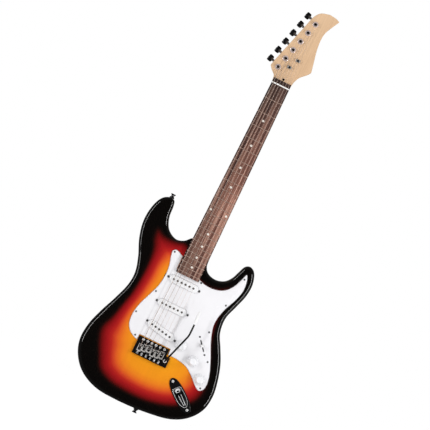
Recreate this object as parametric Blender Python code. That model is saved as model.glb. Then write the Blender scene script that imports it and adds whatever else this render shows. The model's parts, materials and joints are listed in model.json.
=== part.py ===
"""Solid-body electric guitar: bolt-on neck, six tuners in line, three pickups, six-screw tremolo.

Everything is modelled in a bench frame, in millimetres, as if the guitar lay on its back:
x points to the treble side, y from the nut towards the headstock (so the body has negative y)
and z out of the face. y = 0 is the nut, x = 0 the centre line and z = 0 the body's flat face.
The empty named guitar stands the bench frame up, headstock towards +Z and face towards -Y.
"""

import math

import bmesh
import bpy
from mathutils import Matrix, Vector
from mathutils.geometry import delaunay_2d_cdt

MM = 0.001
GAP = 0.3  # left between pieces that touch on the real guitar

# --- driving dimensions ---------------------------------------------------------------------

SCALE_LENGTH = 648.0
FRETS = 22
STRING_RADII = (0.127, 0.165, 0.216, 0.33, 0.457, 0.584)  # string 1, the high one, first
NUT_PITCH = 7.0
BRIDGE_PITCH = 10.4
BRIDGE_CENTRE = -0.5

BODY_DEPTH = 45.0
BODY_EDGE = 9.0  # radius rolled over the body's rim, front and back
BODY_POINTS = 112
EDGE_STEPS = 3
CAP_GRID = 27.0

BOARD_TOP = 9.5
BOARD_UNDERSIDE = 4.8
BOARD_RADIUS = 241.0
BOARD_HEAD_END = 12.0
BOARD_BODY_END = -473.0
FRET_HEIGHT = 1.05
NUT_TOP = 11.2

NECK_TOP = 4.5
HEEL_END = -466.3
HEEL_BACK = -15.9
HEAD_FACE = -1.6
HEAD_BACK = -15.9
NUT_HALF_WIDTH = 21.5
NECK_TAPER = 0.01351  # half width gained per millimetre from the nut

GUARD_BOTTOM = GAP
GUARD_TOP = 2.5

PIVOT_Y = -641.0
PLATE_BOTTOM = 0.4
PLATE_TOP = 3.2
SADDLE_CREST = 13.0
SADDLE_LENGTH = 17.0
SADDLE_FRONTS = (-647.0, -649.5, -651.0, -646.5, -649.0, -652.0)  # string 1 first
STRING_HOLE_Y = -657.0
ARM_HOLE = (37.3, -664.0)

SPRING_AXIS_Z = -36.5

TUNER_FIRST = Vector((-23.3, 36.8))  # post of string 6, the one nearest the nut
TUNER_PITCH = 25.15
TUNER_LINE = Vector((0.27, 0.9629)).normalized()
WORM_OFFSET = 5.0  # from post axis to button axis, along the tuner line
WORM_Z = -21.6

KNOBS = {"volume": (55.0, -617.0), "neck_tone": (94.0, -637.0), "middle_tone": (125.0, -667.0)}

SWITCH_CENTRE = Vector((97.5, -597.0))
SWITCH_LINE = Vector((0.645, -0.764)).normalized()
SWITCH_PIVOT_Z = -10.0

JACK_CENTRE = (101.5, -718.5)
JACK_LINE_ANGLE = math.radians(-38.3)
JACK_TILT = math.radians(45.0)

HORN_BUTTON = (-108.5, -329.7)
TAIL_BUTTON = (26.0, -789.6)
BUTTON_Z = -22.5

# --- curves and outlines --------------------------------------------------------------------


def smooth(points, steps=6, closed=False):
    """Centripetal Catmull-Rom curve through the points, with some samples on each stretch."""
    knots = [Vector(point) for point in points]
    if closed:
        padded = [knots[-1]] + knots + knots[:2]
    else:
        padded = [2 * knots[0] - knots[1]] + knots + [2 * knots[-1] - knots[-2]]
    curve = []
    for before, start, end, after in zip(padded, padded[1:], padded[2:], padded[3:]):
        t1 = (start - before).length ** 0.5
        t2 = t1 + (end - start).length ** 0.5
        t3 = t2 + (after - end).length ** 0.5
        for step in range(steps):
            t = t1 + (t2 - t1) * step / steps
            a = before.lerp(start, t / t1)
            b = start.lerp(end, (t - t1) / (t2 - t1))
            c = end.lerp(after, (t - t2) / (t3 - t2))
            curve.append(a.lerp(b, t / t2).lerp(b.lerp(c, (t - t1) / (t3 - t1)), (t - t1) / (t2 - t1)))
    if not closed:
        curve.append(knots[-1])
    return curve


def evenly(loop, count):
    """The closed loop again, as a number of points at even distances along it."""
    ends = loop[1:] + loop[:1]
    lengths = [(end - start).length for start, end in zip(loop, ends)]
    pitch = sum(lengths) / count
    points, travelled, wanted = [], 0.0, 0.0
    for start, end, length in zip(loop, ends, lengths):
        while wanted < travelled + length and len(points) < count:
            points.append(start.lerp(end, (wanted - travelled) / length))
            wanted += pitch
        travelled += length
    return points


def circle(x, y, radius, sides=12):
    turns = [math.tau * side / sides for side in range(sides)]
    return [Vector((x + radius * math.cos(turn), y + radius * math.sin(turn))) for turn in turns]


def rectangle(x_low, x_high, y_low, y_high):
    return [Vector(p) for p in ((x_low, y_low), (x_high, y_low), (x_high, y_high), (x_low, y_high))]


def rounded(x, y, length, width, radius, steps=3, angle=0.0):
    """A rectangle with round corners, its length turned by the angle from the x axis."""
    turn = Matrix.Rotation(angle, 2)
    points = []
    for quarter in range(4):
        side_x = 1 if quarter in (0, 3) else -1
        side_y = 1 if quarter < 2 else -1
        corner = Vector((side_x * (length / 2 - radius), side_y * (width / 2 - radius)))
        for step in range(steps + 1):
            around = math.pi / 2 * (quarter + step / steps)
            offset = Vector((radius * math.cos(around), radius * math.sin(around)))
            points.append(Vector((x, y)) + turn @ (corner + offset))
    return points


def inset(loop, distance):
    """The closed loop moved inwards along its normals; it runs anticlockwise."""
    moved = []
    for before, point, after in zip(loop[-1:] + loop[:-1], loop, loop[1:] + loop[:1]):
        along = (after - before).normalized()
        moved.append(point + distance * Vector((-along.y, along.x)))
    return moved


def at_height(loop, z):
    return [Vector((point.x, point.y, z)) for point in loop]


def extruded(loop, z_low, z_high):
    return [at_height(loop, z_low), at_height(loop, z_high)]


def turned(profile, sides=12):
    """Rings of a shape turned round the z axis, from a profile of (radius, height)."""
    return [at_height(circle(0, 0, radius, sides), height) for radius, height in profile]


def box(x_low, x_high, y_low, y_high, z_low, z_high):
    return extruded(rectangle(x_low, x_high, y_low, y_high), z_low, z_high)


def blend(value, low, high):
    """0 below low, 1 above high and a smooth step between them."""
    share = min(max((value - low) / (high - low), 0.0), 1.0)
    return share * share * (3 - 2 * share)


# --- objects --------------------------------------------------------------------------------


def clear_scene():
    for thing in list(bpy.data.objects):
        bpy.data.objects.remove(thing, do_unlink=True)


def empty(name, location=(0, 0, 0), parent=None):
    thing = bpy.data.objects.new(name, None)
    thing.location = Vector(location) * MM
    thing.parent = parent
    bpy.context.scene.collection.objects.link(thing)
    return thing


def material(name, colour, roughness, metallic=0.0):
    made = bpy.data.materials.new(name)
    made.use_nodes = True
    shader = made.node_tree.nodes["Principled BSDF"]
    shader.inputs["Base Color"].default_value = (*colour, 1)
    shader.inputs["Roughness"].default_value = roughness
    shader.inputs["Metallic"].default_value = metallic
    return made


def mesh_of(name, rings, closed=False):
    """A mesh skinned over rings with equally many points, capped at both ends or joined to a tube."""
    work = bmesh.new()
    loops = [[work.verts.new(Vector(point) * MM) for point in ring] for ring in rings]
    following = loops[1:] + (loops[:1] if closed else [])
    for low, high in zip(loops, following):
        for side in range(len(low)):
            other = (side + 1) % len(low)
            work.faces.new((low[side], low[other], high[other], high[side]))
    if not closed:
        work.faces.new(loops[0])
        work.faces.new(loops[-1])
    bmesh.ops.recalc_face_normals(work, faces=work.faces)
    mesh = bpy.data.meshes.new(name)
    work.to_mesh(mesh)
    work.free()
    return mesh


def placed(name, data, finish, parent, frame):
    """An object for the data, where frame puts it in the bench frame."""
    thing = bpy.data.objects.new(name, data)
    thing.data.materials.append(finish)
    thing.parent = parent
    if parent != guitar:
        thing.matrix_parent_inverse = parent.matrix_basis.inverted()
    shift = Matrix.Translation(frame.translation * MM)
    thing.matrix_basis = shift @ frame.to_3x3().to_4x4()
    bpy.context.scene.collection.objects.link(thing)
    return thing


def piece(name, rings, finish, pivot=(0, 0, 0), parent=None, closed=False):
    """A solid whose rings are in the bench frame, with its origin at the pivot."""
    origin = Vector(pivot)
    local = [[Vector(point) - origin for point in ring] for ring in rings]
    frame = Matrix.Translation(origin)
    return oriented(name, local, finish, frame, parent, closed)


def oriented(name, rings, finish, frame, parent=None, closed=False):
    """A solid whose rings are in its own frame."""
    mesh = mesh_of(name, rings, closed)
    mesh.shade_smooth()
    mesh.set_sharp_from_angle(angle=math.radians(35))
    return placed(name, mesh, finish, parent or guitar, frame)


def helper(thing):
    """Keeps a shape that only cuts or joins out of the model."""
    thing.hide_render = True
    thing.display_type = "WIRE"
    return thing


def combine(target, tool, operation):
    step = target.modifiers.new(tool.name, "BOOLEAN")
    step.operation = operation
    step.object = tool
    step.solver = "EXACT"


def cut(target, name, rings, closed=False):
    tool = helper(piece(name, rings, tool_finish, closed=closed))
    combine(target, tool, "DIFFERENCE")
    return tool


def join(target, name, rings):
    combine(target, helper(piece(name, rings, tool_finish)), "UNION")


def rod_rings(start, end, radius, sides=10):
    """Rings of a straight round rod between two points."""
    start, end = Vector(start), Vector(end)
    turn = Vector((0, 0, 1)).rotation_difference(end - start)
    around = [turn @ point for point in at_height(circle(0, 0, radius, sides), 0)]
    return [[centre + point for point in around] for centre in (start, end)]


def wire(name, points, radius, finish, pivot=(0, 0, 0), parent=None, sides_step=1):
    """A round wire along the points, as a curve with filled ends."""
    curve = bpy.data.curves.new(name, "CURVE")
    curve.dimensions = "3D"
    curve.bevel_depth = radius * MM
    curve.bevel_resolution = sides_step
    curve.use_fill_caps = True
    line = curve.splines.new("POLY")
    line.points.add(len(points) - 1)
    for knot, point in zip(line.points, points):
        knot.co = (*((Vector(point) - Vector(pivot)) * MM), 1)
    return placed(name, curve, finish, parent or guitar, Matrix.Translation(Vector(pivot)))


# --- body -----------------------------------------------------------------------------------

# From the heel over the bass horn, down the bass side, round the tail and up to the treble horn
BODY_OUTLINE = [
    (14, -389.5), (-14, -387.5), (-28, -391), (-41, -403.5), (-57, -409), (-71, -405),
    (-84.5, -394), (-94.2, -372), (-96.9, -345), (-100.5, -333), (-109, -330), (-122.5, -334.5),
    (-133.5, -348), (-142.2, -379), (-142.4, -410), (-133.8, -445), (-119, -480),
    (-109.6, -515), (-111.3, -545), (-124.3, -585), (-140.4, -625), (-152.9, -665),
    (-155.6, -703), (-145.4, -735), (-120.8, -765), (-80, -785), (-25, -790), (50, -786.2),
    (108.3, -775), (141.3, -755), (162.9, -725), (168.6, -690), (163.9, -655), (151.8, -615),
    (137, -585), (121.4, -555), (117.6, -520), (128.2, -485), (137.3, -455), (139, -425),
    (129.5, -398.5), (117.5, -391.8), (107, -396.5), (98.5, -415.5), (92, -431.5),
    (80, -445.5), (60, -452), (39, -446.5), (29.5, -434), (27.5, -418), (24.5, -396),
]


def arm_drop(x, y):
    """How far the forearm contour takes the face down, on the bass side of the lower bout."""
    past = (x + 139) * -0.909 + (y + 585) * -0.417
    return 0.2 * max(past, 0.0)


def belly_rise(x, y):
    """How far the belly contour lifts the back, at the waist's bass side."""
    window = blend(-y, 415, 480) * blend(y, -660, -590)
    return 0.3 * max(-62 - x, 0.0) * window


def face_height(point):
    return -arm_drop(point.x, point.y)


def back_height(point):
    return belly_rise(point.x, point.y) - BODY_DEPTH


def rim_radius(point):
    """Radius rolled over the rim: full all round, but small where the heel meets the neck."""
    from_heel = (point - Vector((0, -392))).length
    return BODY_EDGE * (0.4 + 0.6 * blend(from_heel, 26, 52))


def body_rings(outline):
    """Rings from the edge of the face, over the rolled rim and the side, to the edge of the back."""
    inwards = [moved - point for moved, point in zip(inset(outline, 1.0), outline)]
    radii = [rim_radius(point) for point in outline]
    front, back = [], []
    for step in range(EDGE_STEPS + 1):
        angle = math.pi / 2 * step / EDGE_STEPS
        upper, lower = [], []
        for point, inward, radius in zip(outline, inwards, radii):
            moved = point + inward * radius * (1 - math.sin(angle))
            drop = radius * (1 - math.cos(angle))
            upper.append(Vector((moved.x, moved.y, face_height(moved) - drop)))
            lower.append(Vector((moved.x, moved.y, back_height(moved) + drop)))
        front.append(upper)
        back.append(lower)
    return front + back[::-1]


def inside(point, loop):
    """Whether the point lies in the closed loop, by counting the edges on its right."""
    crossings = 0
    for start, end in zip(loop, loop[1:] + loop[:1]):
        if (start.y > point.y) != (end.y > point.y):
            share = (point.y - start.y) / (end.y - start.y)
            crossings += start.x + share * (end.x - start.x) > point.x
    return crossings % 2 == 1


def cap(work, rim, height):
    """Fills the rim with triangles over a coarse grid of points at the height's level."""
    flat = [Vector((vert.co.x, vert.co.y)) / MM for vert in rim]
    border = inset(flat, CAP_GRID / 3)
    grid = []
    for column in range(-6, 7):
        for row in range(12, 30):
            point = Vector((column * CAP_GRID, -row * CAP_GRID))
            if inside(point, border):
                grid.append(point)
    edges = [(side, (side + 1) % len(flat)) for side in range(len(flat))]
    points, _, faces, origins, _, _ = delaunay_2d_cdt(flat + grid, edges, [], 1, 1e-5)
    verts = []
    for point, sources in zip(points, origins):
        on_rim = [source for source in sources if source < len(rim)]
        if on_rim:
            verts.append(rim[on_rim[0]])
        else:
            verts.append(work.verts.new(Vector((point.x, point.y, height(point))) * MM))
    for face in faces:
        work.faces.new([verts[corner] for corner in face])


def body_blank():
    outline = evenly(smooth(BODY_OUTLINE, 8, closed=True), BODY_POINTS)
    work = bmesh.new()
    loops = [[work.verts.new(point * MM) for point in ring] for ring in body_rings(outline)]
    for low, high in zip(loops, loops[1:]):
        for side in range(BODY_POINTS):
            other = (side + 1) % BODY_POINTS
            work.faces.new((low[side], low[other], high[other], high[side]))
    cap(work, loops[0], face_height)
    cap(work, loops[-1], back_height)
    bmesh.ops.recalc_face_normals(work, faces=work.faces)
    mesh = bpy.data.meshes.new("body")
    work.to_mesh(mesh)
    work.free()
    mesh.shade_smooth()
    mesh.set_sharp_from_angle(angle=math.radians(35))
    return placed("body", mesh, sunburst, guitar, Matrix())


def make_body():
    body = body_blank()
    above, below = 6.0, -BODY_DEPTH - 6.0
    heel = NUT_HALF_WIDTH - NECK_TAPER * HEEL_END + GAP
    cut(body, "neck_pocket", box(-heel, heel, HEEL_END - GAP, -370, HEEL_BACK - GAP, above))
    cut(body, "pickup_well", extruded(rounded(0, -552, 94, 150, 12), -20, above))
    control_well = smooth(
        [(41, -602), (74, -581), (95, -568), (111, -592), (124, -619), (138, -655), (137, -672),
         (127, -679), (114, -674), (98, -655), (76, -646), (46, -634)], 2, closed=True)
    cut(body, "control_well", extruded(control_well, -38, above))
    slot = [(-36.5, -677.2), (44.6, -677.2), (44.6, -653.8), (34.8, -653.8), (34.8, -647.5), (-36.5, -647.5)]
    cut(body, "tremolo_slot", extruded([Vector(p) for p in slot], -27, above))
    cut(body, "spring_well", extruded(rounded(0, -611.6, 77, 131.2, 5, 1), below, -29))
    cut(body, "tremolo_slot_back", box(-36.6, 36.6, -677.1, -647.4, -31, -25))
    cut(body, "jack_well", extruded(rounded(*JACK_CENTRE, 62, 24, 10, 2, JACK_LINE_ANGLE), -36, above))
    for number, (x, y) in enumerate(NECK_SCREWS):
        cut(body, f"neck_screw_hole_{number}", extruded(circle(x, y, 2.6, 8), below, above))
    for side in (-1, 1):
        hole = rod_rings((side * 14, -549, SPRING_AXIS_Z), (side * 14, -531, SPRING_AXIS_Z), 2.4, 8)
        cut(body, f"claw_screw_hole_{side + 1}", hole)
    horn_x, horn_y = HORN_BUTTON
    tail_x, tail_y = TAIL_BUTTON
    horn_hole = rod_rings((horn_x, horn_y + 6, BUTTON_Z), (horn_x, horn_y - 21, BUTTON_Z), 2.2, 8)
    tail_hole = rod_rings((tail_x, tail_y - 6, BUTTON_Z), (tail_x, tail_y + 21, BUTTON_Z), 2.2, 8)
    cut(body, "horn_screw_hole", horn_hole)
    cut(body, "tail_screw_hole", tail_hole)


# --- neck -----------------------------------------------------------------------------------

NECK_SCREWS = [(x, y) for x in (-19, 19) for y in (-405, -456)]

# Edges of the headstock as (y, x); each list runs between two corners
HEAD_BASS_CHEEK = [(0, -21.5), (10, -22.5), (17, -24.4), (26, -33.7), (34, -40)]
HEAD_BASS_SIDE = [(34, -40), (38, -39.4), (104, -20.6), (146, -8.4), (164, -3.6), (176, 1.7), (186, 10.6), (192, 30)]
HEAD_TREBLE_CHEEK = [(0, 21.5), (12, 22.2), (24, 24.9), (36, 30.8), (50, 44.5), (57, 49.3)]
HEAD_TREBLE_SIDE = [(57, 49.3), (80, 44.4), (108, 38.6), (132, 36.5), (150, 38.6), (170, 47.6), (184, 55.6)]
HEAD_TIP = [(184, 55.6), (188.5, 46), (192, 30)]

NECK_STATIONS = (
    [192, 191.6, 190.6, 189, 187, 184, 180, 174, 166, 156, 144, 132, 118, 104, 90, 74, 64, 57]
    + [52, 46, 40, 34, 30, 26, 22, 18, 14, 12, 8, 4, 0, -8, -120, -320, -364, -371, -379, -387, HEEL_END]
)


def edge_at(y, stretches):
    """x of an edge at a height y, read from smooth curves through its points."""
    for stretch in stretches:
        curve = smooth(stretch, 6)
        for start, end in zip(curve, curve[1:]):
            if min(start.x, end.x) - 1e-6 <= y <= max(start.x, end.x) + 1e-6:
                share = (y - start.x) / (end.x - start.x)
                return start.y + share * (end.y - start.y)
    raise ValueError(f"no edge at y = {y}")


def neck_edges(y):
    """x of the neck's bass and treble edges."""
    if y <= 0:
        half = NUT_HALF_WIDTH - NECK_TAPER * y
        return -half, half
    bass = edge_at(y, (HEAD_BASS_CHEEK, HEAD_BASS_SIDE))
    treble = edge_at(y, (HEAD_TREBLE_CHEEK, HEAD_TREBLE_SIDE, HEAD_TIP))
    if y > 191.9:
        return 29.0, 31.0
    return bass, treble


def neck_top(y):
    """Glue plane of the fingerboard, with a scoop down to the headstock's face."""
    scoop_start, scoop_end = BOARD_HEAD_END, 26.0
    if y <= scoop_start:
        return NECK_TOP
    rest = max(scoop_end - y, 0.0) / (scoop_end - scoop_start)
    return HEAD_FACE + (NECK_TOP - HEAD_FACE) * rest ** 2


def neck_back(y):
    """Deepest line of the neck's back: headstock, shaft and heel."""
    shaft = -10.8 + 0.0056 * y
    to_head = blend(y, -6, 38)
    to_heel = blend(-y, 366, 386)
    return shaft + (HEAD_BACK - shaft) * to_head + (HEEL_BACK - shaft) * to_heel


def neck_ring(y):
    """Section across the neck: flat on top, round below on the shaft, square on head and heel."""
    left, right = neck_edges(y)
    top, depth = neck_top(y), neck_top(y) - neck_back(y)
    squareness = max(blend(y, -2, 40), blend(-y, 364, 384))
    power = 2 / (2.3 + 28 * squareness)
    centre, half = (left + right) / 2, (right - left) / 2
    ring = [Vector((left, y, top))]
    steps = 10
    for step in range(steps):
        angle = math.pi * step / steps
        across = math.copysign(abs(math.cos(angle)) ** power, math.cos(angle))
        ring.append(Vector((centre + half * across, y, top - depth * math.sin(angle) ** power)))
    return ring


def make_neck():
    neck = piece("neck", [neck_ring(y) for y in NECK_STATIONS], maple)
    cut(neck, "rod_channel", box(-3.0, 3.0, -446, -7.9, -2.9, 9))
    cut(neck, "rod_bore", rod_rings((0, 18.5, 0.6), (0, -8.1, 0.6), 2.9))
    for number, centre in enumerate(tuner_posts()):
        cut(neck, f"bushing_hole_{number}", extruded(circle(centre.x, centre.y, 5.3), -30, 9))
    for number, (x, y) in enumerate(NECK_SCREWS):
        cut(neck, f"neck_screw_pilot_{number}", extruded(circle(x, y, 2.5, 8), -30, -4))
    rod = [(2.4, -444), (2.4, 0), (2.6, 0), (2.6, 13.5)]
    frame = Matrix.Translation((0, 0, 0.6)) @ Matrix.Rotation(-math.pi / 2, 4, "X")
    oriented("truss_rod", turned(rod, 8), steel, frame)


def radius_drop(x):
    """How far the fingerboard's cylinder has fallen at a distance from the centre line."""
    return x * x / (2 * BOARD_RADIUS)


def fret_y(number):
    return -SCALE_LENGTH * (1 - 2 ** (-number / 12))


def board_ring(y, rise):
    half = NUT_HALF_WIDTH - NECK_TAPER * min(y, 0)
    ring = [Vector((-half, y, BOARD_UNDERSIDE)), Vector((half, y, BOARD_UNDERSIDE))]
    for share in (1, 0.5, 0, -0.5, -1):
        x = half * share
        ring.append(Vector((x, y, BOARD_TOP + rise - radius_drop(x))))
    return ring


def make_fingerboard():
    """The board with its frets: the wires are pressed in for good, so they share its solid."""
    foot, crown = 1.25, 0.55
    rings = [board_ring(BOARD_HEAD_END, -2.4), board_ring(3.5, 0)]
    for number in range(1, FRETS + 1):
        y = fret_y(number)
        for offset, rise in ((foot, 0), (crown, FRET_HEIGHT), (-crown, FRET_HEIGHT), (-foot, 0)):
            rings.append(board_ring(y + offset, rise))
    rings.append(board_ring(BOARD_BODY_END, 0))
    board = piece("fingerboard", rings, rosewood)
    cut(board, "nut_slot", box(-40, 40, -0.9, 2.6, 6.0, 20))


def make_nut():
    rings = []
    for y in (-0.6, 2.3):
        ring = [Vector((-21, y, 6.3)), Vector((21, y, 6.3))]
        for share in (1, 0.5, 0, -0.5, -1):
            x = 21 * share
            ring.append(Vector((x, y, NUT_TOP - radius_drop(x))))
        rings.append(ring)
    piece("nut", rings, bone)


def make_neck_plate():
    """Bolt-on plate with its four screws, which run through the body into the heel."""
    back = -BODY_DEPTH - GAP
    outline = rounded(0, -430.5, 51, 64, 5, 2)
    plate = piece("neck_plate", extruded(outline, back - 1.7, back), chrome)
    for number, (x, y) in enumerate(NECK_SCREWS):
        shank = extruded(circle(x, y, 2.2, 8), back - 1.0, -7)
        join(plate, f"neck_screw_{number}", shank)


# --- tuners ---------------------------------------------------------------------------------


def tuner_posts():
    """Post centres, from string 6 near the nut to string 1 near the tip."""
    return [TUNER_FIRST + TUNER_LINE * TUNER_PITCH * step for step in range(6)]


def tuner_frame(centre):
    """Frame with its x along the line of posts to the tip, y towards the button and z up the post."""
    turn = Matrix.Rotation(math.atan2(TUNER_LINE.y, TUNER_LINE.x), 4, "Z")
    return Matrix.Translation((centre.x, centre.y, 0)) @ turn


def superellipse(half_x, half_y, power, sides=12):
    points = []
    for side in range(sides):
        angle = math.tau * side / sides
        across, along = math.cos(angle), math.sin(angle)
        points.append(Vector((
            half_x * math.copysign(abs(across) ** (2 / power), across),
            half_y * math.copysign(abs(along) ** (2 / power), along),
        )))
    return points


def make_tuner(string, centre):
    """Die-cast housing with its barrel, the post with its gear, and the button with its worm."""
    frame = tuner_frame(centre)
    worm_axis = Matrix.Translation((WORM_OFFSET, 0, WORM_Z)) @ Matrix.Rotation(-math.pi / 2, 4, "X")
    top = HEAD_BACK - GAP
    case = box(-7.5, 10.0, -6.5, 9.5, top - 10.4, top)
    housing = oriented(f"tuner_housing_{string}", case, black_metal, frame)
    barrel = turned([(4.9, top - 1), (4.9, HEAD_FACE + GAP), (6.2, HEAD_FACE + GAP),
                     (5.6, HEAD_FACE + 2.2), (3.4, HEAD_FACE + 2.2)])
    tools = [
        ("barrel", barrel, frame, "UNION"),
        ("bore", turned([(3.35, -24.9), (3.35, 9)]), frame, "DIFFERENCE"),
        ("gear_room", turned([(4.1, -24.8), (4.1, -18.6)]), frame, "DIFFERENCE"),
        ("worm_room", turned([(2.35, -4.5), (2.35, 12)], 10), frame @ worm_axis, "DIFFERENCE"),
    ]
    for name, rings, place, operation in tools:
        tool = helper(oriented(f"tuner_{name}_{string}", rings, tool_finish, place))
        combine(housing, tool, operation)

    gear_top, gear_bottom = WORM_Z + 1.5, WORM_Z - 1.5
    post = [(2.2, -24.4), (2.2, gear_bottom), (3.3, gear_bottom), (3.3, gear_top), (3.0, gear_top),
            (3.0, 1.4), (2.6, 2.3), (2.6, 5.0), (3.0, 6.0), (3.0, 7.0)]
    oriented(f"tuner_post_{string}", turned(post, 10), chrome, frame)

    # (half width along the posts, half thickness, squareness, distance from the post's axis)
    button = [(1.4, 1.4, 2, -4.0), (1.4, 1.4, 2, 4.0), (2.0, 2.0, 2, 4.4), (2.0, 2.0, 2, 17.6),
              (3.0, 3.0, 2, 18.2), (2.6, 2.6, 2, 20.4), (6.4, 3.6, 3, 20.9), (7.6, 4.1, 3, 23.5),
              (7.8, 3.9, 3, 29.4), (6.9, 3.0, 3, 31.8)]
    rings = [at_height(superellipse(wide, thick, power, 10), y) for wide, thick, power, y in button]
    oriented(f"tuner_button_{string}", rings, black_plastic, frame @ worm_axis)


# --- electronics ----------------------------------------------------------------------------

# Stretches of the pickguard's outline, each smooth and each starting where the last one ends
GUARD_STRETCHES = [
    [(-28.8, -436), (-48, -429.3), (-54.5, -434), (-53.6, -445), (-48.1, -465), (-45.8, -487),
     (-48.7, -515), (-58.8, -545), (-69.8, -575), (-74.2, -602), (-70.5, -625), (-60, -638.5),
     (-45, -646.3), (-39.7, -647)],
    [(-39.7, -647), (-39.7, -634.5)],
    [(-39.7, -634.5), (37.2, -634.5)],
    [(37.2, -634.5), (37.2, -648.5)],
    [(37.2, -648.5), (60, -648.8), (85.8, -655), (107, -670.3), (124, -686), (134.5, -690.5),
     (142.8, -683), (144.4, -668), (139.5, -645), (127.3, -615), (109, -575), (100.2, -540),
     (106.6, -505), (119, -475), (126, -448), (123.5, -422), (117.5, -411), (112.1, -425),
     (101, -450), (85, -465.5), (60, -472.5), (34, -468.5), (28.8, -465)],
    [(28.8, -465), (28.8, -467.2)],
    [(28.8, -467.2), (-28.8, -467.2)],
    [(-28.8, -467.2), (-28.8, -436)],
]


def outline_of(stretches, steps):
    """One closed outline from stretches that meet at corners."""
    outline = []
    for stretch in stretches:
        curve = smooth(stretch, steps) if len(stretch) > 2 else [Vector(p) for p in stretch]
        outline += curve[:-1]
    return outline


PICKUPS = {
    "neck_pickup": (0.0, -490.5, 0.0, 8.6),
    "middle_pickup": (0.0, -549.5, 0.0, 9.2),
    "bridge_pickup": (0.0, -606.5, math.radians(-10.6), 9.8),
}


def make_pickguard():
    outline = outline_of(GUARD_STRETCHES, 3)
    guard = piece("pickguard", extruded(outline, GUARD_BOTTOM, GUARD_TOP), white_plastic)
    low, high = GUARD_BOTTOM - 2, GUARD_TOP + 2
    for name, (x, y, angle, _) in PICKUPS.items():
        cut(guard, f"{name}_window", extruded(rounded(x, y, 70.8, 18.8, 9.3, 4, angle), low, high))
    for name, (x, y) in KNOBS.items():
        cut(guard, f"{name}_hole", extruded(circle(x, y, 4.1, 10), low, high))
    angle = math.atan2(SWITCH_LINE.y, SWITCH_LINE.x)
    cut(guard, "switch_slot", extruded(rounded(*SWITCH_CENTRE, 28, 2.8, 1.3, 2, angle), low, high))


def make_pickup(name, x, y, angle, top):
    """Cover and bobbin in one solid, on the base plate that its height screws hold."""
    pivot = (x, y, top)
    cover = rounded(x, y, 70.0, 18.0, 8.9, 4, angle)
    base = rounded(x, y, 84.0, 20.0, 8.9, 4, angle)
    crown = rounded(x, y, 67.4, 15.4, 7.6, 4, angle)
    rings = [at_height(base, -6.5), at_height(base, -4.5), at_height(cover, -4.4),
             at_height(cover, top - 1.0), at_height(crown, top)]
    piece(name, rings, white_plastic, pivot=pivot)


def make_control(name, x, y):
    """A pot under the guard, and its skirted knob with the shaft that it turns."""
    frame = Matrix.Translation((x, y, 0))
    case = [(8.5, -16.0), (8.5, -6.0), (3.75, -6.0), (3.75, 5.4), (3.35, 5.4), (3.35, -14.0)]
    oriented(f"{name}_pot", turned(case), steel, frame)
    knob = [(3.0, -13.6), (3.0, 6.3), (7.2, 6.2), (11.8, 3.1), (13.0, 3.1), (13.0, 4.3),
            (10.6, 6.4), (8.7, 9.6), (8.1, 17.6), (7.1, 18.6)]
    oriented(f"{name}_knob", turned(knob, 16), white_plastic, frame)


def make_switch():
    angle = math.atan2(SWITCH_LINE.y, SWITCH_LINE.x)
    x, y = SWITCH_CENTRE
    frame_body = piece("switch_frame", extruded(rounded(x, y, 42, 13, 1.5, 1, angle), -19, -0.2), steel)
    cut(frame_body, "switch_frame_slot", extruded(rounded(x, y, 32, 2.6, 1.0, 1, angle), -14.5, 4))
    lever = [(5.0, 1.6, -12.0), (5.0, 1.6, 4.6), (7.0, 5.4, 4.8), (6.2, 4.8, 13.0), (4.2, 3.0, 14.6)]
    rings = []
    for wide, thick, height in lever:
        rings.append(at_height(rounded(x, y, wide, thick, thick * 0.3, 1, angle), height))
    piece("switch_lever", rings, white_plastic, pivot=(x, y, SWITCH_PIVOT_Z))


def jack_frame():
    """Frame of the jack plate: x along it from the deep end, y across and z out of the face."""
    return Matrix.Translation((*JACK_CENTRE, 0)) @ Matrix.Rotation(JACK_LINE_ANGLE, 4, "Z")


def socket_frame():
    """Frame of the socket in the plate's: origin on the slanted floor, z the way a plug leaves."""
    return Matrix.Translation((-12.5, 0, -6.0)) @ Matrix.Rotation(math.pi / 2 - JACK_TILT, 4, "Y")


def make_jack():
    """Boat-shaped plate whose dish ends in a slanted floor for the socket."""
    sides = 24

    def oval(centre, half_length, half_width, z):
        loop = superellipse(half_length, half_width, 2.4, sides)
        return [Vector((centre + point.x, point.y, z)) for point in loop]

    def disc(radius, height):
        return [socket_frame() @ point for point in at_height(circle(0, 0, radius, sides), height)]

    rings = [
        oval(0, 43.0, 14.0, GAP), oval(0, 43.0, 14.0, GAP + 0.9), oval(0, 41.5, 12.9, GAP + 1.9),
        oval(5.2, 24.8, 10.4, GAP + 1.9), oval(4.8, 23.9, 9.6, GAP + 0.4),
        disc(6.9, 0), disc(5.1, 0), disc(5.1, -1.3), disc(8.0, -1.3),
        oval(4.8, 25.4, 10.9, GAP - 0.9), oval(4.8, 26.2, 11.6, GAP),
    ]
    oriented("jack_plate", rings, black_gloss, jack_frame(), closed=True)
    socket = [(3.3, -13.0), (3.3, 2.9), (6.2, 2.9), (6.2, 0.3), (4.7, 0.3), (4.7, -1.9),
              (7.0, -1.9), (7.0, -15.0)]
    oriented("jack_socket", turned(socket), chrome, jack_frame() @ socket_frame())


# --- tremolo --------------------------------------------------------------------------------


def string_x(string, pitch, centre=0.0):
    """x of a string, 1 on the treble side to 6 on the bass side."""
    return centre + pitch * (3.5 - string)


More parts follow.
